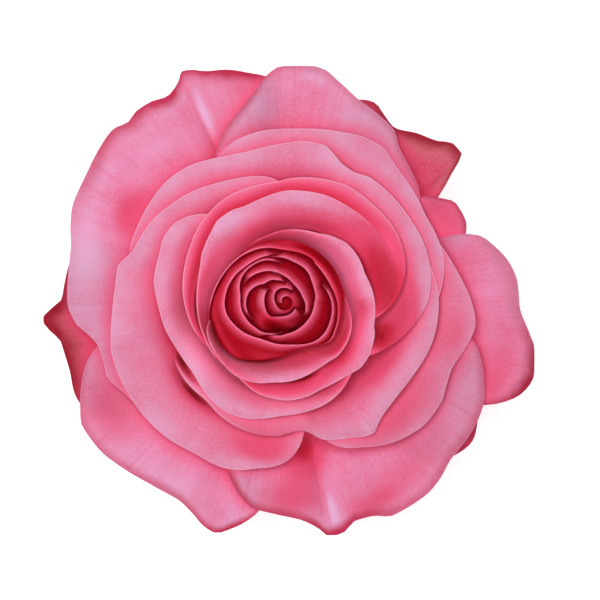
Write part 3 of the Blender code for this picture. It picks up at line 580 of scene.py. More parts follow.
@dataclass
class PetalShape:
    """Turns a petal's tables into the points of its fine sheet."""

    form: PetalForm
    crown: Crown = field(default_factory=Crown)
    column_step: float = 1.5
    wall_rows: int = 10
    lip_rows: int = 26
    rim_crowding: float = 1.25
    lip_rise: float = 0.76
    lip_reach: float = 0.46
    flare: float = 1.3
    heart_depth: float = 1.8
    heart_fall: float = 1.1
    heart_handle: float = 0.3
    heart_handle_drop: float = 0.06
    heart_rise: float = 0.55
    wall_top_at_axis: float = 46.3
    wall_top_fall: float = 0.95
    heart_end_span: float = 16.0
    heart_end_drop: float = 4.5
    least_lip: float = 0.3
    receptacle_top: float = 15.5
    receptacle_fall: float = 0.055
    claw_lift: float = 0.72
    claw_half_width: float = 1.6
    claw_shoulder: float = 8.0
    least_reach: float = 1.0
    side_margin: tuple[float, float] = (0.5, 0.75)
    low_side_margin: tuple[float, float] = (0.12, 0.6)
    bud: tuple[np.ndarray, np.ndarray] | None = None

    @property
    def is_heart(self) -> bool:
        """Whether the petal belongs to the tight heart."""
        return self.form.layer is Layer.HEART

    @property
    def is_low_sided(self) -> bool:
        """Whether its side margins begin low on the wall, as on the large outer petals."""
        return self.form.low_sided or self.form.layer is Layer.OUTER

    def angles(self) -> np.ndarray:
        """Column angles on the grid that all petals share.

        Returns:
            The angles from one side margin to the other.
        """
        first = math.ceil(self.form.rim[0][0] / self.column_step)
        last = math.floor(self.form.rim[-1][0] / self.column_step)
        return np.arange(first, last + 1) * self.column_step

    def lip_shares(self) -> np.ndarray:
        """Shares along the lip from the wall, closer together towards the rim."""
        t = np.linspace(0.0, 1.0, self.lip_rows)
        return 1.0 - (1.0 - t) ** self.rim_crowding

    def rim(self, angles: np.ndarray) -> np.ndarray:
        """Radius of the rim at each angle."""
        return curve_through(self.form.rim, angles)

    def wall(self, angles: np.ndarray) -> np.ndarray:
        """Radius of the wall, where the petal is widest under its rim.

        Args:
            angles: Column angles.

        Returns:
            The radius at each angle.
        """
        if self.bud is not None:
            return np.interp(angles, *self.bud)
        return curve_through(self.form.wall, angles)

    def rim_height(self, angles: np.ndarray) -> np.ndarray:
        """Height of a heart petal's rim at each angle."""
        height = self.crown.height(np.maximum(self.rim(angles), 0.0)) + self.form.lift
        return height - self.heart_end_drop * self.end_share(angles)

    def wall_top(self, angles: np.ndarray) -> np.ndarray:
        """Height at which the wall passes into the lip.

        Args:
            angles: Column angles.

        Returns:
            The height at each angle.
        """
        if self.is_heart:
            bulge = self.wall(angles) - self.rim(angles)
            return self.rim_height(angles) - self.heart_depth - self.heart_fall * bulge
        return self.wall_top_at_axis - self.wall_top_fall * self.wall(angles)

    def end_share(self, angles: np.ndarray) -> np.ndarray:
        """How near each column is to a side margin.

        Args:
            angles: Column angles.

        Returns:
            1 at the margins, 0 from a short way inwards.
        """
        first, last = self.form.rim[0][0], self.form.rim[-1][0]
        inside = np.minimum(angles - first, last - angles)
        return 1.0 - smooth(inside / self.heart_end_span)

    def heart_lip(self, angles: np.ndarray) -> tuple[tuple[np.ndarray, ...], ...]:
        """Handles of a heart petal's lip, which leans inwards.

        Args:
            angles: Column angles.

        Returns:
            Radii and heights of the four handles at each angle.
        """
        wall, rim = self.wall(angles), self.rim(angles)
        bottom, top = self.wall_top(angles), self.rim_height(angles)
        rise = bottom + self.heart_rise * (top - bottom)
        under_rim = top - self.heart_handle_drop * (top - bottom)
        radii = (wall, wall, rim + self.heart_handle * (wall - rim), rim)
        return radii, (bottom, rise, under_rim, top)

    def rolled_lip(self, angles: np.ndarray) -> tuple[tuple[np.ndarray, ...], ...]:
        """Handles of a lip that rolls out to its rim.

        Args:
            angles: Column angles.

        Returns:
            Radii and heights of the four handles at each angle.
        """
        wall = self.wall(angles)
        rim = np.maximum(self.rim(angles), wall + self.least_lip)
        bottom, top = self.wall_top(angles), self.crown.height(rim) + self.form.lift
        slope = math.radians(self.form.slope)
        reach = self.lip_reach * (rim - wall)
        before_rim = top + reach * math.sin(slope)
        rise = bottom + self.lip_rise * (before_rim - bottom)
        radii = (wall, wall, rim - reach * math.cos(slope), rim)
        return radii, (bottom, rise, before_rim, top)

    def free_lip(self, angles: np.ndarray) -> tuple[np.ndarray, np.ndarray]:
        """The lip before it is laid under those inside it.

        Args:
            angles: Column angles.

        Returns:
            Radius and height, each columns by rows.
        """
        handles = self.heart_lip(angles) if self.is_heart else self.rolled_lip(angles)
        t = self.lip_shares()[None, :]
        radius, height = (cubic(t, np.array(places)[:, :, None]) for places in handles)
        return radius, height + self.folded(angles, radius)

    def folded(self, angles: np.ndarray, radius: np.ndarray) -> np.ndarray:
        """Height that the petal's folds add.

        Args:
            angles: Column angles.
            radius: The lip's radii, columns by rows.

        Returns:
            The height to add, columns by rows.
        """
        total = np.zeros_like(radius)
        for fold in FOLDS.get(self.form.node, ()):
            across = np.exp(-(((angles - fold.angle) / fold.width) ** 2))[:, None]
            reach = (radius - fold.inner) / (fold.outer - fold.inner)
            total += fold.height * across * smooth(reach)
        return total

    def margin_start(self, angles: np.ndarray) -> np.ndarray:
        """Where on the wall each column begins, so that the petal narrows to its claw.

        Args:
            angles: Column angles.

        Returns:
            The share of the wall left out under each column, none at the claw.
        """
        first, last = angles[0], angles[-1]
        middle = 0.5 * (first + last)
        claw = middle + signed_turn(self.form.claw - middle)
        half = math.degrees(self.claw_half_width / max(self.form.ring, self.claw_half_width))
        away = np.abs(angles - claw) - half
        reach = np.where(angles < claw, claw - first, last - claw) - half
        share = np.clip(away / np.maximum(reach, self.least_reach), 0.0, 1.0)
        if self.is_low_sided:
            (beside, at_end), share = self.low_side_margin, share**2
        else:
            beside, at_end = self.side_margin
        shoulder = smooth(away / self.claw_shoulder)
        return np.where(away <= 0.0, 0.0, shoulder * (beside + (at_end - beside) * share))

    def wall_points(self, angles: np.ndarray) -> tuple[np.ndarray, np.ndarray]:
        """The wall's rows, from the claw or a side margin up to the lip.

        Args:
            angles: Column angles.

        Returns:
            Radius and height, each columns by rows.
        """
        ring = self.form.ring
        wall = self.wall(angles)[:, None]
        top = self.wall_top(angles)[:, None]
        foot = self.receptacle_top - self.receptacle_fall * ring**2 + self.claw_lift
        begins = self.margin_start(angles)[:, None]
        s = begins + (1.0 - begins) * np.linspace(0.0, 1.0, self.wall_rows, endpoint=False)
        radius = ring + (wall - ring) * (1.0 - (1.0 - s) ** self.flare)
        return radius, foot + (top - foot) * s


# At one angle of the bloom: each petal's wall radius, the petal and its column's place.
Column = list[tuple[float, PetalShape, int]]
# By node: the column angles and two grids of values.
Grids = dict[str, tuple[np.ndarray, np.ndarray, np.ndarray]]
# By node: one grid of values.
Values = dict[str, np.ndarray]


@dataclass
class Bloom:
    """Lays every outer petal's lip under the lips inside it, angle by angle."""

    shapes: list[PetalShape]
    gap: float = 0.38
    steepest: float = 3.0
    radius_step: float = 0.25
    furthest: float = 62.0
    free: float = 200.0
    rise_beyond_rim: float = 1.2
    shade_span: float = 4.5
    blur: float = 2.0
    blur_reach: int = 6
    swell_share: float = 0.55
    least_swell: float = 1.2
    bud_clearance: float = 0.35
    same_edge: float = 0.05

    def laid(self) -> Grids:
        """Lays the lips.

        Returns:
            By node: the column angles, how far each point of the lips sinks, and the
            radius out to which the petals inside cover it with the step up to them.
        """
        self.widen_bud()
        lips = {}
        for shape in self.shapes:
            angles = shape.angles()
            lips[shape.form.node] = (angles, *shape.free_lip(angles))
        held = {node: heights.copy() for node, (_, _, heights) in lips.items()}
        cover = {node: np.zeros((len(angles), 2)) for node, (angles, _, _) in lips.items()}
        for column in self.columns_by_angle(lips).values():
            self.lay_column(column, lips, held)
            self.cover_column(column, lips, held, cover)
        return {
            node: (angles, self.blurred(height - held[node]), self.blurred(cover[node]))
            for node, (angles, _, height) in lips.items()
        }

    def widen_bud(self) -> None:
        """Lets each heart petal swell under its rim until it nears the next one out."""
        hearts = [shape for shape in self.shapes if shape.is_heart]
        for shape in hearts:
            angles = shape.angles()
            rim = shape.rim(angles)
            limit = rim * (1.0 + self.swell_share) + self.least_swell + self.bud_clearance
            for other in self.shapes:
                first, last = other.form.rim[0][0], other.form.rim[-1][0]
                for around in (-FULL_TURN, 0.0, FULL_TURN):
                    seen = angles + around
                    edge = other.rim(seen) if other.is_heart else other.wall(seen)
                    outside = (seen >= first) & (seen <= last) & (edge > rim + self.same_edge)
                    limit = np.where(outside, np.minimum(limit, edge), limit)
            swell = np.maximum(limit - rim - self.bud_clearance, 0.0)
            shape.bud = (angles, rim + self.blurred(swell[:, None])[:, 0])

    def cover_column(self, column: Column, lips: Grids, held: Values, cover: Values) -> None:
        """Notes how far out each petal is covered at one angle, and how deep it lies there.

        Args:
            column: (wall radius, shape, column index) in order.
            lips: The free lips by node.
            held: The heights by node.
            cover: Covering radius and step up to the covering rim by node, changed in place.
        """
        furthest = height = 0.0
        for _, shape, k in column:
            _, radius, _ = lips[shape.form.node]
            heights = held[shape.form.node][k]
            own = float(np.interp(furthest, radius[k], heights))
            cover[shape.form.node][k] = (furthest, max(height - own, 0.0))
            if radius[k][-1] > furthest:
                furthest, height = float(radius[k][-1]), float(heights[-1])

    def columns_by_angle(self, lips: Grids) -> dict[int, Column]:
        """Every petal column at each grid angle, the inmost wall first.

        Args:
            lips: The free lips by node.

        Returns:
            The columns by the angle's place on the grid.
        """
        columns: dict[int, Column] = {}
        for shape in self.shapes:
            angles = lips[shape.form.node][0]
            wall = shape.wall(angles)
            for k, angle in enumerate(angles):
                key = round(angle / shape.column_step) % round(FULL_TURN / shape.column_step)
                columns.setdefault(key, []).append((float(wall[k]), shape, k))
        for column in columns.values():
            column.sort(key=lambda entry: entry[0])
        return columns

    def lay_column(self, column: Column, lips: Grids, held: Values) -> None:
        """Holds each lip of one angle under the ceiling of those before it.

        Args:
            column: (wall radius, shape, column index) in order.
            lips: The free lips by node.
            held: The heights by node, changed in place.
        """
        radii = np.arange(0.0, self.furthest, self.radius_step)
        ceiling = np.full_like(radii, self.free)
        for _, shape, k in column:
            if shape.is_heart:
                continue
            angles, radius, height = lips[shape.form.node]
            kept = np.minimum(height[k], np.interp(radius[k], radii, ceiling))
            held[shape.form.node][k] = kept
            span = np.array((-self.shade_span, 0.0, self.shade_span))
            beside = np.clip(angles[k] + span, angles[0], angles[-1])
            shaded = float(np.max(shape.rim(beside)))
            below = self.ceiling_below(shape, radii, ceiling, radius[k], kept, shaded)
            ceiling = np.minimum(ceiling, below)

    def ceiling_below(
        self,
        shape: PetalShape,
        radii: np.ndarray,
        ceiling: np.ndarray,
        radius: np.ndarray,
        height: np.ndarray,
        shaded: float,
    ) -> np.ndarray:
        """Greatest height under a laid lip.

        Args:
            shape: The petal whose lip it is.
            radii: Radii at which the ceiling is kept.
            ceiling: The ceiling over the lip.
            radius: The lip's radii.
            height: The lip's heights.
            shaded: How far out the petal covers.

        Returns:
            The height one gap under the lip, and free inside its wall.
        """
        onward = np.minimum(shape.crown.height(radii) + shape.form.lift, ceiling)
        level = np.where(radii <= radius[-1], np.interp(radii, radius, height), onward)
        slope = np.clip(np.abs(np.gradient(level, self.radius_step)), 0.0, self.steepest)
        level = level - self.gap * np.sqrt(1.0 + slope**2)
        level += self.rise_beyond_rim * np.maximum(0.0, radii - shaded)
        return np.where(radii < radius[0], self.free, level)

    def blurred(self, values: np.ndarray) -> np.ndarray:
        """Smooths values from column to column.

        Args:
            values: The values, columns by rows.

        Returns:
            The smoothed values.
        """
        reach = self.blur_reach
        kernel = np.exp(-0.5 * (np.arange(-reach, reach + 1) / self.blur) ** 2)
        kernel /= kernel.sum()
        padded = np.pad(values, ((reach, reach), (0, 0)), mode="edge")
        wide = np.stack([padded[i : i + len(values)] for i in range(2 * reach + 1)])
        return np.tensordot(kernel, wide, axes=(0, 0))


def deselect_all() -> None:
    """Leaves nothing selected, so that an operator acts on the new piece alone."""
    bpy.ops.object.select_all(action="DESELECT")


def select_alone(piece: Piece) -> None:
    """Makes a piece the only one selected, and the active one.

    Args:
        piece: The piece.
    """
    deselect_all()
    piece.select_set(True)
    bpy.context.view_layer.objects.active = piece


def smooth_shade(piece: Piece, sharp_from: float) -> None:
    """Shades a piece smooth, but for edges sharper than an angle in degrees."""
    select_alone(piece)
    bpy.ops.object.shade_smooth_by_angle(angle=math.radians(sharp_from))


def apply_modifier(piece: Piece, kind: str, **values: float | bool | str) -> None:
    """Adds a modifier to a piece and applies it.

    Args:
        piece: The piece.
        kind: Blender's modifier type.
        **values: Its settings.
    """
    select_alone(piece)
    modifier = piece.modifiers.new(kind.lower(), kind)
    for name, value in values.items():
        setattr(modifier, name, value)
    bpy.ops.object.modifier_apply(modifier=modifier.name)


def grid_sheet(name: str, points: np.ndarray) -> Piece:
    """A grid primitive drawn onto the points of a surface.

    Args:
        name: The piece's name.
        points: Rows by columns by (x, y, z) in metres.

    Returns:
        The sheet, its object at the origin.
    """
    rows, columns = points.shape[:2]
    deselect_all()
    bpy.ops.mesh.primitive_grid_add(x_subdivisions=columns - 1, y_subdivisions=rows - 1, size=1)
    sheet = bpy.context.active_object
    sheet.name = name
    sheet.data.name = name
    sheet.data.vertices.foreach_set("co", points.reshape(-1).astype(np.float32))
    sheet.data.update()
    return sheet


def points_of(piece: Piece) -> np.ndarray:
    """Reads a piece's points.

    Args:
        piece: The piece.

    Returns:
        Places in metres, one row each.
    """
    points = np.empty(len(piece.data.vertices) * 3, np.float32)
    piece.data.vertices.foreach_get("co", points)
    return points.reshape(-1, 3)


def add_attribute(piece: Piece, name: str, values: np.ndarray) -> None:
    """Stores one number for each point of a piece.

    Args:
        piece: The piece.
        name: The attribute's name.
        values: One value for each vertex, in order.
    """
    attribute = piece.data.attributes.new(name, "FLOAT", "POINT")
    attribute.data.foreach_set("value", values.reshape(-1).astype(np.float32))


@dataclass(frozen=True)
class Ripples:
    """Slow swells that all petals of the bloom share, so that no lip reaches another."""

    seed: int = 11
    waves: int = 14
    shortest: float = 9.0
    longest: float = 30.0
    inner: float = 12.0
    outer: float = 44.0
    height: float = 0.9

    def lift(self, x: np.ndarray, y: np.ndarray) -> np.ndarray:
        """Swell of the bloom's surface.

        Args:
            x: Places across, in millimetres from the axis.
            y: Places up the photograph, in millimetres from the axis.

        Returns:
            How far each place is raised or sunk.
        """
        draw = np.random.default_rng(self.seed)
        total = np.zeros_like(x)
        for _ in range(self.waves):
            length = draw.uniform(self.shortest, self.longest)
            heading, phase = draw.uniform(0.0, 2.0 * math.pi, 2)
            run = (x * math.cos(heading) + y * math.sin(heading)) * 2.0 * math.pi / length
            total += np.sin(run + phase) * length / self.longest
        share = smooth((np.hypot(x, y) - self.inner) / (self.outer - self.inner))
        return total * share * self.height / math.sqrt(self.waves)


@dataclass
class PetalSheets:
    """Builds one fine closed petal for each form."""

    bloom: Bloom
    ripples: Ripples = field(default_factory=Ripples)
    ripples_from: float = 0.3
    thickness: float = 0.2
    end_step: float = 0.5
    end_span: float = 5.0
    end_fade: float = 1.5
    tip_columns: int = 5
    closest_columns: float = 0.3
    angle_digits: int = 3
    sharp_from: float = 55.0
    box_clearance: float = 0.3

    def build(self) -> list[Piece]:
        """Every petal as its own closed piece."""
        laid = self.bloom.laid()
        return [self.petal(shape, *laid[shape.form.node]) for shape in self.bloom.shapes]

    def column_angles(self, shape: PetalShape) -> np.ndarray:
        """Angles of the fine columns: closer together at the side margins and tips.

        Args:
            shape: The petal.

        Returns:
            The angles in order, the exact ends included.
        """
        first, last = shape.form.rim[0][0], shape.form.rim[-1][0]
        near = np.arange(0.0, self.end_span, self.end_step)
        middle = np.arange(first + self.end_span, last - self.end_span, shape.column_step)
        spots = [first + near, last - near, middle]
        round_tip = near[: self.tip_columns] - near[self.tip_columns // 2]
        spots += [tip + round_tip for tip in shape.form.tips]
        angles = np.unique(np.round(np.concatenate(spots), self.angle_digits))
        keep = np.append(True, np.diff(angles) > self.closest_columns)
        keep[-1] = True
        return angles[keep]

    def petal(
        self, shape: PetalShape, grid: np.ndarray, drop: np.ndarray, cover: np.ndarray
    ) -> Piece:
        """One petal.

        Args:
            shape: Its form.
            grid: The angles at which the bloom laid its lip.
            drop: How far the lip sinks there, angles by rows.
            cover: Covering radius and step up to the covering rim there.

        Returns:
            The finished piece.
        """
        angles = self.column_angles(shape)
        wall_radius, wall_height = shape.wall_points(angles)
        lip_radius, lip_height = shape.free_lip(angles)
        lip_height = lip_height - self.read_at(angles, grid, drop)
        radius = np.concatenate([wall_radius, lip_radius], axis=1)
        height = np.concatenate([wall_height, lip_height], axis=1)
        turn = np.radians(angles)[:, None]
        x, y = radius * np.cos(turn), radius * np.sin(turn)
        height = height + self.ripples.lift(x, y) * smooth(self.along(shape) - self.ripples_from)
        points = np.stack([x + AXIS[0], y + AXIS[1], height], axis=-1) * MM
        sheet = grid_sheet(shape.form.node, self.inside_box(points).transpose(1, 0, 2))
        covered, step = self.read_at(angles, grid, cover).T[:, :, None]
        marks = self.marks(shape, angles, radius, height)
        marks.update(in_open=radius - covered, trench=step)
        for name, values in marks.items():
            add_attribute(sheet, name, np.broadcast_to(values, radius.shape).T)
        apply_modifier(sheet, "SOLIDIFY", thickness=self.thickness * MM, offset=0.0)
        self.mark_underside(sheet, radius.size)
        smooth_shade(sheet, self.sharp_from)
        return sheet

    def marks(
        self, shape: PetalShape, angles: np.ndarray, radius: np.ndarray, height: np.ndarray
    ) -> dict[str, np.ndarray]:
        """What the finishes read at each point of a petal.

        Args:
            shape: The petal.
            angles: Its column angles.
            radius: The radii, columns by rows.
            height: The heights, columns by rows.

        Returns:
            Values by attribute, each columns by rows or one of the two.
        """
        from_rim = self.from_rim(radius, height)
        from_rim = from_rim + self.end_fade * shape.end_share(angles)[:, None]
        # Painted shade and highlights by patch, and painted glow by patch.
        flush = self.patches(PAINTED_SHADE_AND_HIGHLIGHTS, shape, angles, radius)
        glow = self.patches(GLOWS, shape, angles, radius)
        crimson, depth = self.crimson_at(shape, angles)
        return {
            "along": self.along(shape),
            "turn": angles[:, None],
            "from_rim": from_rim,
            "flush": np.clip(flush, BRIGHTEST_PAINTED_HIGHLIGHT, DARKEST_PAINTED_SHADE),
            "glow": np.clip(glow, 0.0, 1.0),
            "crimson": crimson[:, None],
            "crimson_reach": from_rim / depth,
        }

    def along(self, shape: PetalShape) -> np.ndarray:
        """Share along the petal: 0 at the claw, 1 at the wall's top and 2 at the rim."""
        wall = np.linspace(0.0, 1.0, shape.wall_rows, endpoint=False)
        return np.concatenate([wall, 1.0 + shape.lip_shares()])

    def from_rim(self, radius: np.ndarray, height: np.ndarray) -> np.ndarray:
        """Distance from the rim along each column.

        Args:
            radius: The radii, columns by rows.
            height: The heights, columns by rows.

        Returns:
            The distances, columns by rows.
        """
        steps = np.hypot(np.diff(radius, axis=1), np.diff(height, axis=1))
        total = np.cumsum(steps[:, ::-1], axis=1)[:, ::-1]
        return np.pad(total, ((0, 0), (0, 1)))

    def read_at(self, angles: np.ndarray, grid: np.ndarray, known: np.ndarray) -> np.ndarray:
        """Reads what the bloom knows at its grid angles at a petal's own columns.

        Args:
            angles: The petal's column angles.
            grid: The angles at which the values are known.
            known: The values, grid angles by rows.

        Returns:
            The values, columns by rows.
        """
        return np.stack([np.interp(angles, grid, row) for row in known.T], axis=1)

    def patches(
        self,
        table: dict[str, tuple[Patch, ...]],
        shape: PetalShape,
        angles: np.ndarray,
        radius: np.ndarray,
    ) -> np.ndarray:
        """Adds up the patches that a table gives for a petal.

        Args:
            table: Patches by node.
            shape: The petal.
            angles: Its column angles.
            radius: The radii, columns by rows.

        Returns:
            Their strength at each point, columns by rows.
        """
        total = np.zeros_like(radius)
        for patch in table.get(shape.form.node, ()):
            across = (signed_turn(angles - patch.angle) / patch.width)[:, None]
            inwards = (radius - patch.radius) / patch.depth
            total += patch.strength * np.exp(-(across**2) - inwards**2)
        return total

    def crimson_at(self, shape: PetalShape, angles: np.ndarray) -> tuple[np.ndarray, float]:
        """How crimson a petal's rim is.

        Args:
            shape: The petal.
            angles: Its column angles.

        Returns:
            The strength at each angle, and how far in the colour reaches.
        """
        margin = MARGINS.get(shape.form.node)
        if margin is None:
            return np.zeros_like(angles), 1.0
        return curve_through(margin.strength, angles), margin.depth

    def inside_box(self, points: np.ndarray) -> np.ndarray:
        """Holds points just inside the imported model's box.

        Args:
            points: Places in metres.

        Returns:
            The held places.
        """
        low, high = (np.array(corner) for corner in CAD_BOX)
        clearance = self.box_clearance * MM
        return np.clip(points, low + clearance, high - clearance)

    def mark_underside(self, sheet: Piece, count: int) -> None:
        """Stores 1 on the lower face's points and 0 on the upper face's.

        Args:
            sheet: The closed petal.
            count: The points of one face.
        """
        height = points_of(sheet)[:, 2]
        first_is_lower = height[:count].mean() < height[count : 2 * count].mean()
        underside = np.zeros(len(height))
        underside[:count] = first_is_lower
        underside[count:] = not first_is_lower
        add_attribute(sheet, "underside", underside)


@dataclass
class Core:
    """The closed tip of the bud, which shuts the inmost curl; its colour is dark painted shade."""

    top: float = 49.8
    half_height: float = 8.0
    radius: float = 3.2
    segments: int = 32
    rings: int = 16
    along: float = 0.5
    from_rim: float = 9.0
    in_open: float = -3.0
    # How deep the core's painted shade is.
    flush: float = 2.6

    def build(self) -> Piece:
        """Builds the core.

        Returns:
            One closed piece.
        """
        deselect_all()
        bpy.ops.mesh.primitive_uv_sphere_add(
            segments=self.segments, ring_count=self.rings, radius=self.radius * MM
        )
        core = bpy.context.active_object
        core.name = "heart_core"
        bpy.ops.object.mode_set(mode="EDIT")
        bpy.ops.mesh.select_all(action="SELECT")
        bpy.ops.transform.resize(value=(1.0, 1.0, self.half_height / self.radius))
        bpy.ops.transform.translate(value=on_axis(self.top - self.half_height))
        bpy.ops.object.mode_set(mode="OBJECT")
        bpy.ops.object.shade_smooth()
        self.mark(core)
        return core

    def mark(self, core: Piece) -> None:
        """Stores the petals' attributes on the core, as low on a buried wall and as deep in
        painted shade as its dark colour needs.

        Args:
            core: The core.
        """
        every = np.ones(len(core.data.vertices))
        for name in ("along", "from_rim", "in_open", "flush"):
            add_attribute(core, name, getattr(self, name) * every)
        for name in ("underside", "trench", "turn", "glow", "crimson", "crimson_reach"):
            add_attribute(core, name, 0.0 * every)


# A Mix node's colour sockets by place: its number sockets have the same names.
MIX_FIRST, MIX_SECOND, MIX_RESULT = 6, 7, 2


@dataclass
class NodeSheet:
    """Lays out the nodes of one material or group."""

    tree: bpy.types.NodeTree

    def add(self, kind: str, **values: object) -> Node:
        """Adds a node.

        Args:
            kind: Blender's node type.
            **values: Its properties.

        Returns:
            The node.
        """
        node = self.tree.nodes.new(kind)
        for name, value in values.items():
            setattr(node, name, value)
        return node

    def feed(self, source: object, target: Socket) -> None:
        """Feeds an input.

        Args:
            source: A socket or a plain value.
            target: The input.
        """
        if isinstance(source, Socket):
            self.tree.links.new(source, target)
        else:
            target.default_value = source

    def fed(self, kind: str, sources: dict[str | int, object], **values: object) -> Node:
        """Adds a node and feeds its inputs.

        Args:
            kind: Blender's node type.
            sources: Sockets or plain values by the input's name or place.
            **values: The node's properties.

        Returns:
            The node.
        """
        node = self.add(kind, **values)
        for target, source in sources.items():
            self.feed(source, node.inputs[target])
        return node

    def math(self, operation: str, *values: object) -> Socket:
        """A Math node's result for sockets or numbers."""
        return self.fed("ShaderNodeMath", dict(enumerate(values)), operation=operation).outputs[0]

    def scaled(self, value: object, by: object) -> Socket:
        """A value times another."""
        return self.math("MULTIPLY", value, by)

    def flipped(self, share: object) -> Socket:
        """1 less a share."""
        return self.math("SUBTRACT", 1.0, share)

    def ease(self, value: object, low: float, high: float) -> Socket:
        """Smoothstep of a value.

        Args:
            value: A socket.
            low: Where the result is 0.
            high: Where the result is 1, above or below low.

        Returns:
            The result's socket.
        """
        ends = dict(enumerate((value, low, high)))
        node = self.fed("ShaderNodeMapRange", ends, interpolation_type="SMOOTHSTEP")
        return node.outputs[0]

    def mix(self, share: object, first: object, second: object) -> Socket:
        """Mixes two colours by a share."""
        sources = {0: share, MIX_FIRST: first, MIX_SECOND: second}
        return self.fed("ShaderNodeMix", sources, data_type="RGBA").outputs[MIX_RESULT]

    def attribute(self, name: str) -> Socket:
        """A point attribute's number."""
        return self.add("ShaderNodeAttribute", attribute_name=name).outputs["Fac"]

    def noise(self, place: object, scale: float, detail: float) -> Socket:
        """Noise between 0 and 1 at a place."""
        sources = {"Vector": place, "Scale": scale, "Detail": detail}
        return self.fed("ShaderNodeTexNoise", sources).outputs["Fac"]

    def bump(self, height: object) -> Socket:
        """The surface's normal, bumped by a height in millimetres."""
        sources = {"Distance": MM, "Height": height}
        return self.fed("ShaderNodeBump", sources).outputs["Normal"]


@dataclass
class Finish:
    """A new material, and the sheet on which its nodes are laid out."""

    made: Material
    sheet: NodeSheet

    @classmethod
    def start(cls, name: str) -> "Finish":
        """Makes an empty finish.

        Args:
            name: The material's name.

        Returns:
            The finish.
        """
        made = bpy.data.materials.new(name)
        made.use_nodes = True
        return cls(made, NodeSheet(made.node_tree))

    def shade(self, sources: dict[str, object]) -> Material:
        """Feeds the material's own shader.

        Args:
            sources: Sockets or plain values by the input's name.

        Returns:
            The material.
        """
        shader = self.made.node_tree.nodes["Principled BSDF"]
        for name, source in sources.items():
            self.sheet.feed(source, shader.inputs[name])
        return self.made


@dataclass
class EffectGroup:
    """A shared effect: a node group with named inputs and outputs, built once."""

    name: str
    inputs: dict[str, float]
    outputs: tuple[str, ...]
    tree: bpy.types.NodeTree | None = None

    def start(self) -> tuple[NodeSheet, Node, Node]:
        """Makes the group with its sockets.

        Returns:
            Its sheet, and its input and output nodes.
        """
        self.tree = bpy.data.node_groups.new(self.name, "ShaderNodeTree")
        for name, value in self.inputs.items():
            self.new_socket(name, "INPUT").default_value = value
        for name in self.outputs:
            self.new_socket(name, "OUTPUT")
        sheet = NodeSheet(self.tree)
        return sheet, sheet.add("NodeGroupInput"), sheet.add("NodeGroupOutput")

    def new_socket(self, name: str, side: str) -> bpy.types.NodeTreeInterfaceSocket:
        """Adds a named number to one side of the group."""
        sockets = self.tree.interface
        return sockets.new_socket(name, in_out=side, socket_type="NodeSocketFloat")

    def place(self, sheet: NodeSheet, **values: object) -> Node:
        """Places the group in a material, with its inputs by name."""
        return sheet.fed("ShaderNodeGroup", values, node_tree=self.tree)


@dataclass(frozen=True)
class VeinLines:
    """One width of vein: noise drawn out along the petal, and where it turns to lines."""

    across: float
    lengthwise: float
    reach: tuple[float, float]
    share: float = 0.5
    scale: float = 1.0
    detail: float = 2.0

    def mask(self, sheet: NodeSheet, turn: Socket, along: Socket) -> Socket:
        """The lines' mask.

        Args:
            sheet: The group's sheet.
            turn: Place across the petal.
            along: Place along the petal.

        Returns:
            The mask's socket, 0 to the lines' share.
        """
        sources = {0: sheet.scaled(turn, self.across), 1: sheet.scaled(along, self.lengthwise)}
        place = sheet.fed("ShaderNodeCombineXYZ", sources).outputs[0]
        lines = sheet.ease(sheet.noise(place, self.scale, self.detail), *self.reach)
        return sheet.scaled(lines, self.share)


BROAD_VEINS = VeinLines(across=0.35, lengthwise=0.9, reach=(0.42, 0.68))
FINE_VEINS = VeinLines(across=1.1, lengthwise=1.6, reach=(0.45, 0.7))


def fanning_veins() -> EffectGroup:
    """Veins that run from the claw to the rim and waver a little.

    Returns:
        The group.
    """
    group = EffectGroup("fanning_veins", {"Turn": 0.0, "Along": 0.0, "Density": 1.0}, ("Mask",))
    sheet, given, put = group.start()
    turn = sheet.scaled(given.outputs["Turn"], given.outputs["Density"])
    along = given.outputs["Along"]
    masks = [veins.mask(sheet, turn, along) for veins in (BROAD_VEINS, FINE_VEINS)]
    sheet.feed(sheet.math("ADD", *masks), put.inputs["Mask"])
    return group


def velvet_mottle(
    cloud_detail: float = 3.0, grain_detail: float = 2.0, reach: tuple[float, float] = (0.3, 0.7)
) -> EffectGroup:
    """Cloudy variation, and the fine velvet grain of a petal's surface.

    Args:
        cloud_detail: Detail of the clouds' noise.
        grain_detail: Detail of the grain's noise.
        reach: Where the noise passes from 0 to 1.

    Returns:
        The group.
    """
    sizes = {"Cloud": 120.0, "Grain": 2600.0}
    group = EffectGroup("velvet_mottle", sizes, ("Clouds", "Grain"))
    sheet, given, put = group.start()
    place = sheet.add("ShaderNodeTexCoord").outputs["Object"]
    clouds = sheet.noise(place, given.outputs["Cloud"], cloud_detail)
    grain = sheet.noise(place, given.outputs["Grain"], grain_detail)
    sheet.feed(sheet.ease(clouds, *reach), put.inputs["Clouds"])
    sheet.feed(sheet.ease(grain, *reach), put.inputs["Grain"])
    return group


@dataclass(frozen=True)
class Effects:
    """The effects that petal and sepal finishes share."""

    veins: EffectGroup = field(default_factory=fanning_veins)
    mottle: EffectGroup = field(default_factory=velvet_mottle)


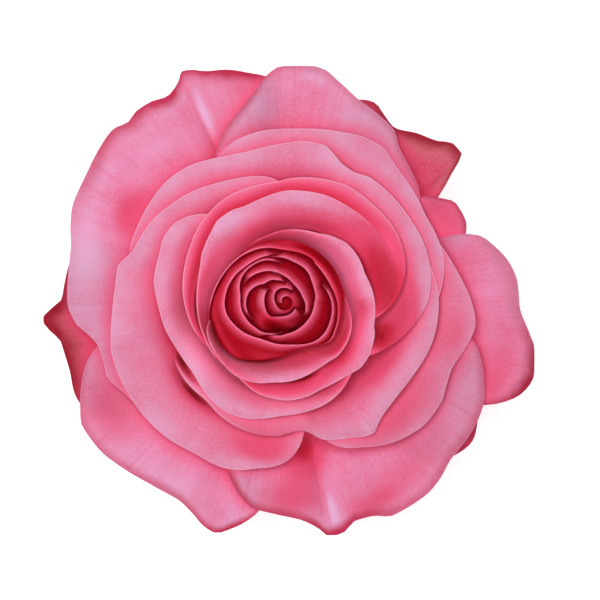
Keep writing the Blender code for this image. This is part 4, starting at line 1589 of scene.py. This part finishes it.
@dataclass(frozen=True)
class PetalFinish:
    """Colours and gloss of one layer's petals, with their painted shade, painted highlights and
    painted glow; the colours are linear.
    """

    name: str
    lip: Colour = (0.79, 0.24, 0.41, 1.0)
    # Lavender painted highlight towards the rim and on painted highlight patches; also the grain's
    # paler speckle.
    light: Colour = (0.80, 0.41, 0.60, 1.0)
    # Deeper pink: the lip's clouds and veins, and also painted shade under inner petals and the
    # first stage of the painted shade.
    deep_pink_and_shade: Colour = (0.74, 0.085, 0.19, 1.0)
    # Deep red of the walls, away from the rim: partly the petal's deeper base, partly painted
    # shade deep in the bloom; also the second stage of the painted shade.
    wall: Colour = (0.60, 0.02, 0.055, 1.0)
    shadow: Colour = (0.30, 0.002, 0.007, 1.0)
    claw: Colour = (0.72, 0.60, 0.30, 1.0)
    # Thin paler band at the rim: partly the margin's own paler colour, partly a painted highlight.
    pale: Colour = (0.95, 0.48, 0.64, 1.0)
    crimson: Colour = (0.50, 0.025, 0.08, 1.0)
    underside: Colour = (0.80, 0.24, 0.40, 1.0)
    # Darker underside low on the petal, deep in the bloom: painted shade.
    lower: Colour = (0.78, 0.20, 0.30, 1.0)
    # Painted glow emitted where the lip is buried under inner petals (on the heart's walls
    # instead, when through_walls), in place of light coming through and between the petals.
    through: Colour = (0.12, 0.018, 0.038, 1.0)
    # Painted glow emitted at the rim (by rim_glow), on painted highlight patches and on glow
    # patches.
    painted_glow: Colour = UNLIT
    rim_glow: float = 0.0
    rim_glow_width: float = 1.3
    through_walls: bool = False
    through_reach: tuple[float, float] = (0.3, 3.0)
    wall_reach: tuple[float, float] = (14.0, 26.0)
    claw_reach: tuple[float, float] = (0.02, 0.2)
    deep_reach: tuple[float, float] = (-3.0, 0.5)
    open_reach: tuple[float, float] = (-1.5, 4.0)
    crimson_reach: tuple[float, float] = (1.15, 0.2)
    crimson_unevenness: float = 0.35
    trench_share: float = 0.7
    light_width: float = 6.0
    light_share: float = 0.6
    pale_width: float = 0.4
    pale_share: float = 0.3
    cloud_share: float = 0.5
    vein_share: float = 0.15
    grain_share: float = 0.3
    vein_depth: float = 0.08
    grain_depth: float = 0.03
    roughness: float = 0.65
    subsurface: float = 0.3
    subsurface_scale: float = 0.0012
    subsurface_radius: tuple[float, float, float] = (1.0, 0.35, 0.5)
    sheen: float = 0.05
    sheen_tint: Colour = (0.85, 0.85, 1.0, 1.0)
    specular: float = 0.15

    def material(self, effects: Effects) -> Material:
        """Builds the finish.

        Args:
            effects: The shared node groups.

        Returns:
            The material.
        """
        finish = Finish.start(self.name)
        sheet = finish.sheet
        lengthwise = {"Turn": sheet.attribute("turn"), "Along": sheet.attribute("along")}
        veins = effects.veins.place(sheet, **lengthwise).outputs["Mask"]
        mottle = effects.mottle.place(sheet)
        ridges = sheet.scaled(veins, self.vein_depth)
        grain = sheet.scaled(mottle.outputs["Grain"], self.grain_depth)
        return finish.shade({
            "Base Color": self.colour(sheet, veins, mottle),
            # The emission is the painted glow.
            "Emission Color": self.painted_glow_emission(sheet),
            "Emission Strength": 1.0,
            "Normal": sheet.bump(sheet.math("ADD", ridges, grain)),
            "Roughness": self.roughness,
            "Subsurface Weight": self.subsurface,
            "Subsurface Scale": self.subsurface_scale,
            "Subsurface Radius": self.subsurface_radius,
            "Sheen Weight": self.sheen,
            "Sheen Tint": self.sheen_tint,
            "Specular IOR Level": self.specular,
        })

    def painted_glow_emission(self, sheet: NodeSheet) -> Socket:
        """Painted glow, emitted in place of the light that comes through the petals: in trenches
        and at their fine rims and patches.

        Args:
            sheet: The material's sheet.

        Returns:
            The emitted colour's socket.
        """
        from_rim, flush = sheet.attribute("from_rim"), sheet.attribute("flush")
        buried = sheet.flipped(sheet.ease(sheet.attribute("in_open"), *self.open_reach))
        above = sheet.flipped(sheet.attribute("underside"))
        if self.through_walls:
            share = sheet.ease(from_rim, *self.through_reach)
        else:
            share = sheet.scaled(buried, above)
        at_rim = sheet.scaled(sheet.ease(from_rim, self.rim_glow_width, 0.0), self.rim_glow)
        # Painted highlight patches also emit the painted glow where the lip is buried.
        painted_highlight_glow = sheet.scaled(sheet.ease(flush, 0.0, BRIGHTEST_PAINTED_HIGHLIGHT), buried)
        glow = sheet.scaled(sheet.attribute("glow"), above)
        painted_glow = sheet.math("MAXIMUM", sheet.math("MAXIMUM", at_rim, painted_highlight_glow), glow)
        lit = sheet.mix(painted_glow, sheet.mix(share, UNLIT, self.through), self.painted_glow)
        # The painted glow fades out where the painted shade is deep.
        return sheet.mix(sheet.ease(flush, PINK_PAINTED_SHADE, DARKEST_PAINTED_SHADE), lit, UNLIT)

    def colour(self, sheet: NodeSheet, veins: Socket, mottle: Node) -> Socket:
        """The petal's colour from its claw to its rim.

        Args:
            sheet: The material's sheet.
            veins: The veins' mask.
            mottle: The mottle group's node.

        Returns:
            The colour's socket.
        """
        from_rim = sheet.attribute("from_rim")
        # Away from the rim the colour turns to the wall's deep red: partly the petal's deeper
        # base, partly painted shade deep in the bloom.
        low = sheet.ease(from_rim, *self.wall_reach)
        opened = self.shaded_lip(sheet, self.lip_colour(sheet, from_rim, veins, mottle))
        walls = sheet.mix(low, opened, self.wall)
        above_claw = sheet.ease(sheet.attribute("along"), *self.claw_reach)
        inner_face = sheet.mix(above_claw, self.claw, walls)
        # Low on the underside the colour darkens: painted shade deep in the bloom.
        outer_face = sheet.mix(low, self.underside, self.lower)
        both = sheet.mix(sheet.attribute("underside"), inner_face, outer_face)
        # Thin paler band at the rim: partly the margin's own paler colour, partly a painted
        # highlight.
        near_rim = sheet.scaled(sheet.ease(from_rim, self.pale_width, 0.0), self.pale_share)
        paled = sheet.mix(near_rim, both, self.pale)
        return self.rimmed(sheet, self.with_painted_shade(sheet, paled), mottle)

    def rimmed(self, sheet: NodeSheet, colour: Socket, mottle: Node) -> Socket:
        """A colour that turns crimson along the rim, with an uneven inner edge.

        Args:
            sheet: The material's sheet.
            colour: The petal's colour.
            mottle: The mottle group's node.

        Returns:
            The colour's socket.
        """
        uneven = sheet.scaled(mottle.outputs["Clouds"], self.crimson_unevenness)
        inwards = sheet.math("ADD", sheet.attribute("crimson_reach"), uneven)
        near = sheet.ease(inwards, *self.crimson_reach)
        return sheet.mix(sheet.scaled(sheet.attribute("crimson"), near), colour, self.crimson)

    def with_painted_shade(self, sheet: NodeSheet, colour: Socket) -> Socket:
        """A colour darkened by the petal's painted shade patches: first to deeper pink, then to
        red, then dark.

        Args:
            sheet: The material's sheet.
            colour: The petal's colour.

        Returns:
            The colour's socket.
        """
        flush = sheet.attribute("flush")
        for stage, deeper in enumerate((self.deep_pink_and_shade, self.wall, self.shadow)):
            colour = sheet.mix(sheet.ease(flush, float(stage), stage + 1.0), colour, deeper)
        return colour

    def lip_colour(
        self, sheet: NodeSheet, from_rim: Socket, veins: Socket, mottle: Node
    ) -> Socket:
        """The open lip's colour: a painted highlight towards the rim, clouded, veined, speckled,
        and lightened by painted highlight patches.

        Args:
            sheet: The material's sheet.
            from_rim: Distance from the rim in millimetres.
            veins: The veins' mask.
            mottle: The mottle group's node.

        Returns:
            The colour's socket.
        """
        # Painted highlight: towards the rim the lip lightens to lavender.
        near_rim = sheet.scaled(sheet.ease(from_rim, self.light_width, 0.0), self.light_share)
        colour = sheet.mix(near_rim, self.lip, self.light)
        clouds = sheet.scaled(mottle.outputs["Clouds"], self.cloud_share)
        lines = sheet.scaled(veins, self.vein_share)
        grain = sheet.scaled(mottle.outputs["Grain"], self.grain_share)
        # Negative patch values paint highlights: the lip lightens to the lavender colour.
        pale = sheet.ease(sheet.attribute("flush"), 0.0, BRIGHTEST_PAINTED_HIGHLIGHT)
        for share in (clouds, lines):
            colour = sheet.mix(share, colour, self.deep_pink_and_shade)
        for share in (grain, pale):
            colour = sheet.mix(share, colour, self.light)
        return colour

    def shaded_lip(self, sheet: NodeSheet, lip: Socket) -> Socket:
        """The lip's colour deepened where the petals inside it shade it.

        Args:
            sheet: The material's sheet.
            lip: The open lip's colour.

        Returns:
            The colour's socket.
        """
        shade = sheet.scaled(sheet.attribute("trench"), self.trench_share)
        clear = sheet.math("SUBTRACT", sheet.attribute("in_open"), shade)
        deepened = sheet.mix(sheet.ease(clear, *self.deep_reach), self.wall, self.deep_pink_and_shade)
        return sheet.mix(sheet.ease(clear, *self.open_reach), deepened, lip)


# Each layer names what differs from the petals' common look.
FINISHES: dict[Layer, PetalFinish] = {
    Layer.HEART: PetalFinish(
        "petal_heart",
        lip=(0.86, 0.075, 0.16, 1.0),
        light=(0.94, 0.20, 0.34, 1.0),
        deep_pink_and_shade=(0.70, 0.03, 0.07, 1.0),
        wall=(0.46, 0.004, 0.014, 1.0),
        claw=(0.95, 0.02, 0.05, 1.0),
        claw_reach=(0.9, 1.1),
        pale=(0.98, 0.26, 0.42, 1.0),
        underside=(0.80, 0.08, 0.17, 1.0),
        lower=(0.46, 0.004, 0.014, 1.0),
        through=(0.05, 0.0008, 0.004, 1.0),
        painted_glow=(0.17, 0.014, 0.038, 1.0),
        rim_glow=1.0,
        through_walls=True,
        wall_reach=(0.0, 2.6),
        light_width=0.9,
        pale_share=0.55,
        deep_reach=(-2.0, -0.5),
        open_reach=(-0.5, 1.5),
        trench_share=0.0,
        sheen=0.0,
        specular=0.05,
    ),
    Layer.BOWL: PetalFinish(
        "petal_bowl",
        lip=(0.90, 0.19, 0.34, 1.0),
        light=(0.86, 0.42, 0.63, 1.0),
        deep_pink_and_shade=(0.84, 0.08, 0.18, 1.0),
        wall=(0.64, 0.022, 0.062, 1.0),
        through=(0.12, 0.010, 0.027, 1.0),
        painted_glow=(0.32, 0.08, 0.165, 1.0),
        rim_glow=0.15,
        wall_reach=(7.0, 18.0),
        light_width=4.0,
        deep_reach=(0.0, 2.5),
        open_reach=(0.8, 5.0),
        trench_share=0.1,
        pale_share=0.45,
    ),
    Layer.MIDDLE: PetalFinish(
        "petal_middle",
        lip=(0.87, 0.23, 0.40, 1.0),
        light=(0.84, 0.43, 0.63, 1.0),
        deep_pink_and_shade=(0.84, 0.085, 0.19, 1.0),
        painted_glow=(0.34, 0.11, 0.20, 1.0),
        open_reach=(-2.0, 3.2),
        trench_share=0.2,
        pale_share=0.45,
    ),
    Layer.OUTER: PetalFinish(
        "petal_outer",
        lip=(0.79, 0.25, 0.43, 1.0),
        light=(0.79, 0.46, 0.66, 1.0),
        vein_share=0.4,
        light_width=9.0,
        trench_share=0.0,
    ),
    Layer.GUARD: PetalFinish(
        "petal_guard",
        lip=(0.78, 0.25, 0.43, 1.0),
        light=(0.78, 0.43, 0.62, 1.0),
        crimson=(0.34, 0.012, 0.04, 1.0),
        vein_share=0.3,
        trench_share=0.0,
    ),
}
WEATHERED = PetalFinish(
    "petal_weathered",
    lip=(0.60, 0.07, 0.14, 1.0),
    light=(0.60, 0.25, 0.27, 1.0),
    deep_pink_and_shade=(0.57, 0.035, 0.10, 1.0),
    crimson=(0.28, 0.006, 0.022, 1.0),
    cloud_share=0.6,
    vein_share=0.4,
    trench_share=0.0,
    light_width=8.0,
)
WEATHERED_NODES = ("petal_guard_3", "petal_guard_4")


@dataclass(frozen=True)
class SepalFinish:
    """The green of the hip, its sepals and the stub."""

    name: str = "sepal_green"
    green: Colour = (0.13, 0.24, 0.055, 1.0)
    light: Colour = (0.30, 0.42, 0.15, 1.0)
    pith: Colour = (0.42, 0.42, 0.22, 1.0)
    vein_density: float = 3.0
    vein_share: float = 0.4
    vein_depth: float = 0.15
    roughness: float = 0.55
    subsurface: float = 0.1
    subsurface_scale: float = 0.001

    def material(self, effects: Effects) -> Material:
        """Builds the finish.

        Args:
            effects: The shared node groups.

        Returns:
            The material.
        """
        finish = Finish.start(self.name)
        sheet = finish.sheet
        clouds = effects.mottle.place(sheet).outputs["Clouds"]
        lengthwise = {"Turn": sheet.attribute("turn"), "Along": sheet.attribute("along")}
        veins = effects.veins.place(sheet, Density=self.vein_density, **lengthwise).outputs["Mask"]
        cloudy = sheet.mix(clouds, self.green, self.light)
        veined = sheet.mix(sheet.scaled(veins, self.vein_share), cloudy, self.light)
        return finish.shade({
            "Base Color": sheet.mix(sheet.attribute("cut"), veined, self.pith),
            "Normal": sheet.bump(sheet.scaled(veins, self.vein_depth)),
            "Roughness": self.roughness,
            "Subsurface Weight": self.subsurface,
            "Subsurface Scale": self.subsurface_scale,
        })


@dataclass
class Hip:
    """The hip with its receptacle and the cut stem stub under it."""

    profile: Table = (
        (2.5, 15.16), (5.0, 14.13), (6.8, 12.96), (7.5, 12.2), (7.5, 11.2), (6.8, 9.6),
        (6.3, 7.6), (5.2, 5.4), (3.4, 4.0), (3.0, 3.2), (3.0, 0.0),
    )
    top: float = 15.5
    sides: int = 48
    edge_radius: float = 0.3
    edge_segments: int = 2
    sharp_from: float = 50.0
    fineness: int = 2
    vein_length: float = 8.0
    cut_height: float = 0.05
    same_height: float = 0.01

    def build(self) -> Piece:
        """A disc drawn down and in along the hip's profile by extruding its rim.

        Returns:
            The hip.
        """
        hip = self.disc()
        bpy.ops.object.mode_set(mode="EDIT")
        self.close_top()
        self.draw_down()
        bpy.ops.object.mode_set(mode="OBJECT")
        angle = math.radians(self.sharp_from)
        width = self.edge_radius * MM
        apply_modifier(hip, "BEVEL", width=width, segments=self.edge_segments, angle_limit=angle)
        apply_modifier(hip, "SUBSURF", levels=self.fineness, render_levels=self.fineness)
        self.mark(hip)
        smooth_shade(hip, self.sharp_from)
        return hip

    def disc(self) -> Piece:
        """Draws the circle at the profile's first point.

        Returns:
            The open circle, its object at the origin.
        """
        radius, height = self.profile[0]
        deselect_all()
        bpy.ops.mesh.primitive_circle_add(
            vertices=self.sides,
            radius=radius * MM,
            location=on_axis(height),
            fill_type="NOTHING",
        )
        hip = bpy.context.active_object
        hip.name = "hip"
        bpy.ops.object.transform_apply(location=True)
        return hip

    def extrude(self, rise: float) -> None:
        """Extrudes what is selected straight up, or down where the rise is below zero."""
        bpy.ops.mesh.extrude_region_move(TRANSFORM_OT_translate={"value": (0, 0, rise * MM)})

    def close_top(self) -> None:
        """Draws the circle up to one point, which closes the receptacle."""
        bpy.ops.mesh.select_all(action="SELECT")
        self.extrude(self.top - self.profile[0][1])
        bpy.ops.mesh.merge(type="CENTER")

    def draw_down(self) -> None:
        """Extrudes the circle down the profile to the stub's cut end, and closes it."""
        first = self.profile[0][1]
        bpy.ops.mesh.select_all(action="DESELECT")
        self.select_ring(first)
        for (radius, height), (onward, lower) in zip(self.profile, self.profile[1:]):
            self.extrude(lower - height)
            share = onward / radius
            value = (share, share, 1.0)
            bpy.ops.transform.resize(value=value, center_override=on_axis(first))
        bpy.ops.mesh.edge_face_add()
        bpy.ops.mesh.select_all(action="SELECT")
        bpy.ops.mesh.normals_make_consistent(inside=False)

    def select_ring(self, height: float) -> None:
        """Selects the points at one height of the piece in edit mode.

        Args:
            height: The height in millimetres.
        """
        bpy.ops.object.mode_set(mode="OBJECT")
        mesh = bpy.context.active_object.data
        for vertex in mesh.vertices:
            vertex.select = abs(vertex.co.z - height * MM) < self.same_height * MM
        for edge in mesh.edges:
            edge.select = all(mesh.vertices[v].select for v in edge.vertices)
        bpy.ops.object.mode_set(mode="EDIT")

    def mark(self, hip: Piece) -> None:
        """Stores the hip's attributes: the turn, the share down it and the cut end.

        Args:
            hip: The hip.
        """
        x, y, z = points_of(hip).T / MM
        add_attribute(hip, "turn", np.degrees(np.arctan2(y - AXIS[1], x - AXIS[0])))
        add_attribute(hip, "along", z / self.vein_length)
        add_attribute(hip, "cut", (z < self.cut_height).astype(float))


@dataclass
class Sepals:
    """Five narrow leaves under the bloom, bent back to the ground."""

    count: int = 5
    first: float = 20.0
    centre: Table = ((4.5, 11.6), (14.0, 13.2), (23.0, 10.5), (27.0, 0.5))
    half_width: float = 4.4
    foot_width: float = 0.62
    swell: float = 0.9
    narrowing: float = 1.2
    tip_narrowing: float = 0.68
    tip_width: float = 0.15
    cup: float = 0.35
    frill: float = 0.25
    frill_waves: float = 26.0
    vein_turn: float = 12.0
    vein_run: float = 3.0
    thickness: float = 0.7
    rows: int = 40
    columns: int = 15

    def build(self) -> list[Piece]:
        """One piece for each sepal."""
        turns = [self.first + FULL_TURN / self.count * k for k in range(self.count)]
        return [self.sepal(k + 1, turn) for k, turn in enumerate(turns)]

    def width(self, t: np.ndarray) -> np.ndarray:
        """Half the sepal's width at each share of its length."""
        leaf = self.foot_width + self.swell * t - self.narrowing * t**2
        return self.half_width * leaf * (1.0 - self.tip_narrowing * t**3) + self.tip_width

    def sepal(self, number: int, turn: float) -> Piece:
        """One sepal: a narrow leaf with a keel, frilled margins and a fine tip.

        Args:
            number: Its number.
            turn: Its direction.

        Returns:
            The finished piece.
        """
        t = np.linspace(0.0, 1.0, self.rows)[:, None]
        s = np.linspace(-1.0, 1.0, self.columns)[None, :]
        radius, height = (cubic(t, places) for places in zip(*self.centre))
        frill = self.frill * np.sin(self.frill_waves * t + number) * np.abs(s) ** 3 * (1.0 - t)
        height = height + self.cup * s**2 * (1.0 - t) + frill
        out, side = np.radians(turn), np.radians(turn + 90.0)
        across = self.width(t) * s
        x = radius * np.cos(out) + across * np.cos(side) + AXIS[0]
        y = radius * np.sin(out) + across * np.sin(side) + AXIS[1]
        leaf = grid_sheet(f"sepal_{number}", np.stack([x, y, height], axis=-1) * MM)
        add_attribute(leaf, "turn", np.broadcast_to(self.vein_turn * s, x.shape))
        add_attribute(leaf, "along", np.broadcast_to(self.vein_run * t, x.shape))
        add_attribute(leaf, "cut", np.zeros_like(x))
        apply_modifier(leaf, "SOLIDIFY", thickness=self.thickness * MM, offset=0.0)
        bpy.ops.object.shade_smooth()
        return leaf


@dataclass
class Studio:
    """A white floor, a large soft lamp over the flower and the camera straight above."""

    camera_at: tuple[float, float, float] = (2.37, 0.12, 1200.0)
    lens: float = 330.0
    sight: float = 10.0
    sky: float = 0.22
    key_power: float = 6.0
    key_size: float = 0.35
    key_at: tuple[float, float, float] = (-0.09, 0.06, 0.90)
    key_aim: tuple[float, float, float] = (0.0, 0.0, 0.04)
    floor_size: float = 4.0
    floor_colour: Colour = (0.6, 0.6, 0.6, 1.0)
    floor_roughness: float = 0.9
    floor_glow: float = 0.75

    def build(self) -> None:
        """Sets up the floor, the sky, the lamp and the camera."""
        self.floor()
        self.light()
        self.camera()
        bpy.context.scene.view_settings.view_transform = "Standard"

    def floor(self) -> None:
        """A plain white floor, which glows a little so that it stays white."""
        bpy.ops.mesh.primitive_plane_add(size=self.floor_size)
        floor = bpy.context.active_object
        floor.name = "floor"
        white = Finish.start("floor_white").shade({
            "Base Color": self.floor_colour,
            "Roughness": self.floor_roughness,
            "Emission Color": WHITE,
            "Emission Strength": self.floor_glow,
        })
        floor.data.materials.append(white)

    def light(self) -> None:
        """An even white sky, and the soft lamp."""
        world = bpy.data.worlds.new("sky")
        bpy.context.scene.world = world
        world.use_nodes = True
        background = world.node_tree.nodes["Background"]
        background.inputs["Color"].default_value = WHITE
        background.inputs["Strength"].default_value = self.sky
        bpy.ops.object.light_add(type="AREA", location=self.key_at)
        key = bpy.context.active_object
        key.name = "key_lamp"
        key.data.size = self.key_size
        key.data.energy = self.key_power
        aim = Vector(self.key_aim) - key.location
        key.rotation_euler = aim.to_track_quat("-Z", "Y").to_euler()

    def camera(self) -> None:
        """The camera, which looks straight down."""
        bpy.ops.object.camera_add(location=Vector(self.camera_at) * MM, rotation=(0, 0, 0))
        camera = bpy.context.active_object
        camera.name = "camera"
        camera.data.lens = self.lens
        camera.data.clip_end = self.sight
        bpy.context.scene.camera = camera


def dress(piece: Piece, material: Material, node: str) -> None:
    """Gives a piece its finish and its place in the model.

    Args:
        piece: The piece.
        material: Its finish.
        node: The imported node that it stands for.
    """
    piece.data.materials.append(material)
    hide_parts(node)
    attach(piece, "root")
    log.info("%s: %d faces", piece.name, len(piece.data.polygons))


def main() -> None:
    """Builds the petals, the calyx and the studio, and reports each piece."""
    logging.basicConfig(level=logging.INFO, format="%(message)s")
    effects = Effects()
    shapes = [PetalShape(form) for form in HEART_FORMS + OUTER_FORMS]
    materials = {layer: finish.material(effects) for layer, finish in FINISHES.items()}
    weathered = WEATHERED.material(effects)
    for shape, petal in zip(shapes, PetalSheets(Bloom(shapes)).build()):
        node = shape.form.node
        petal.name = f"{node}_sheet"
        is_weathered = node in WEATHERED_NODES
        dress(petal, weathered if is_weathered else materials[shape.form.layer], node)
    dress(Core().build(), materials[Layer.HEART], "petal_heart_1")
    green = SepalFinish().material(effects)
    for piece in (Hip().build(), *Sepals().build()):
        dress(piece, green, "calyx")
    Studio().build()


if __name__ == "__main__":
    main()
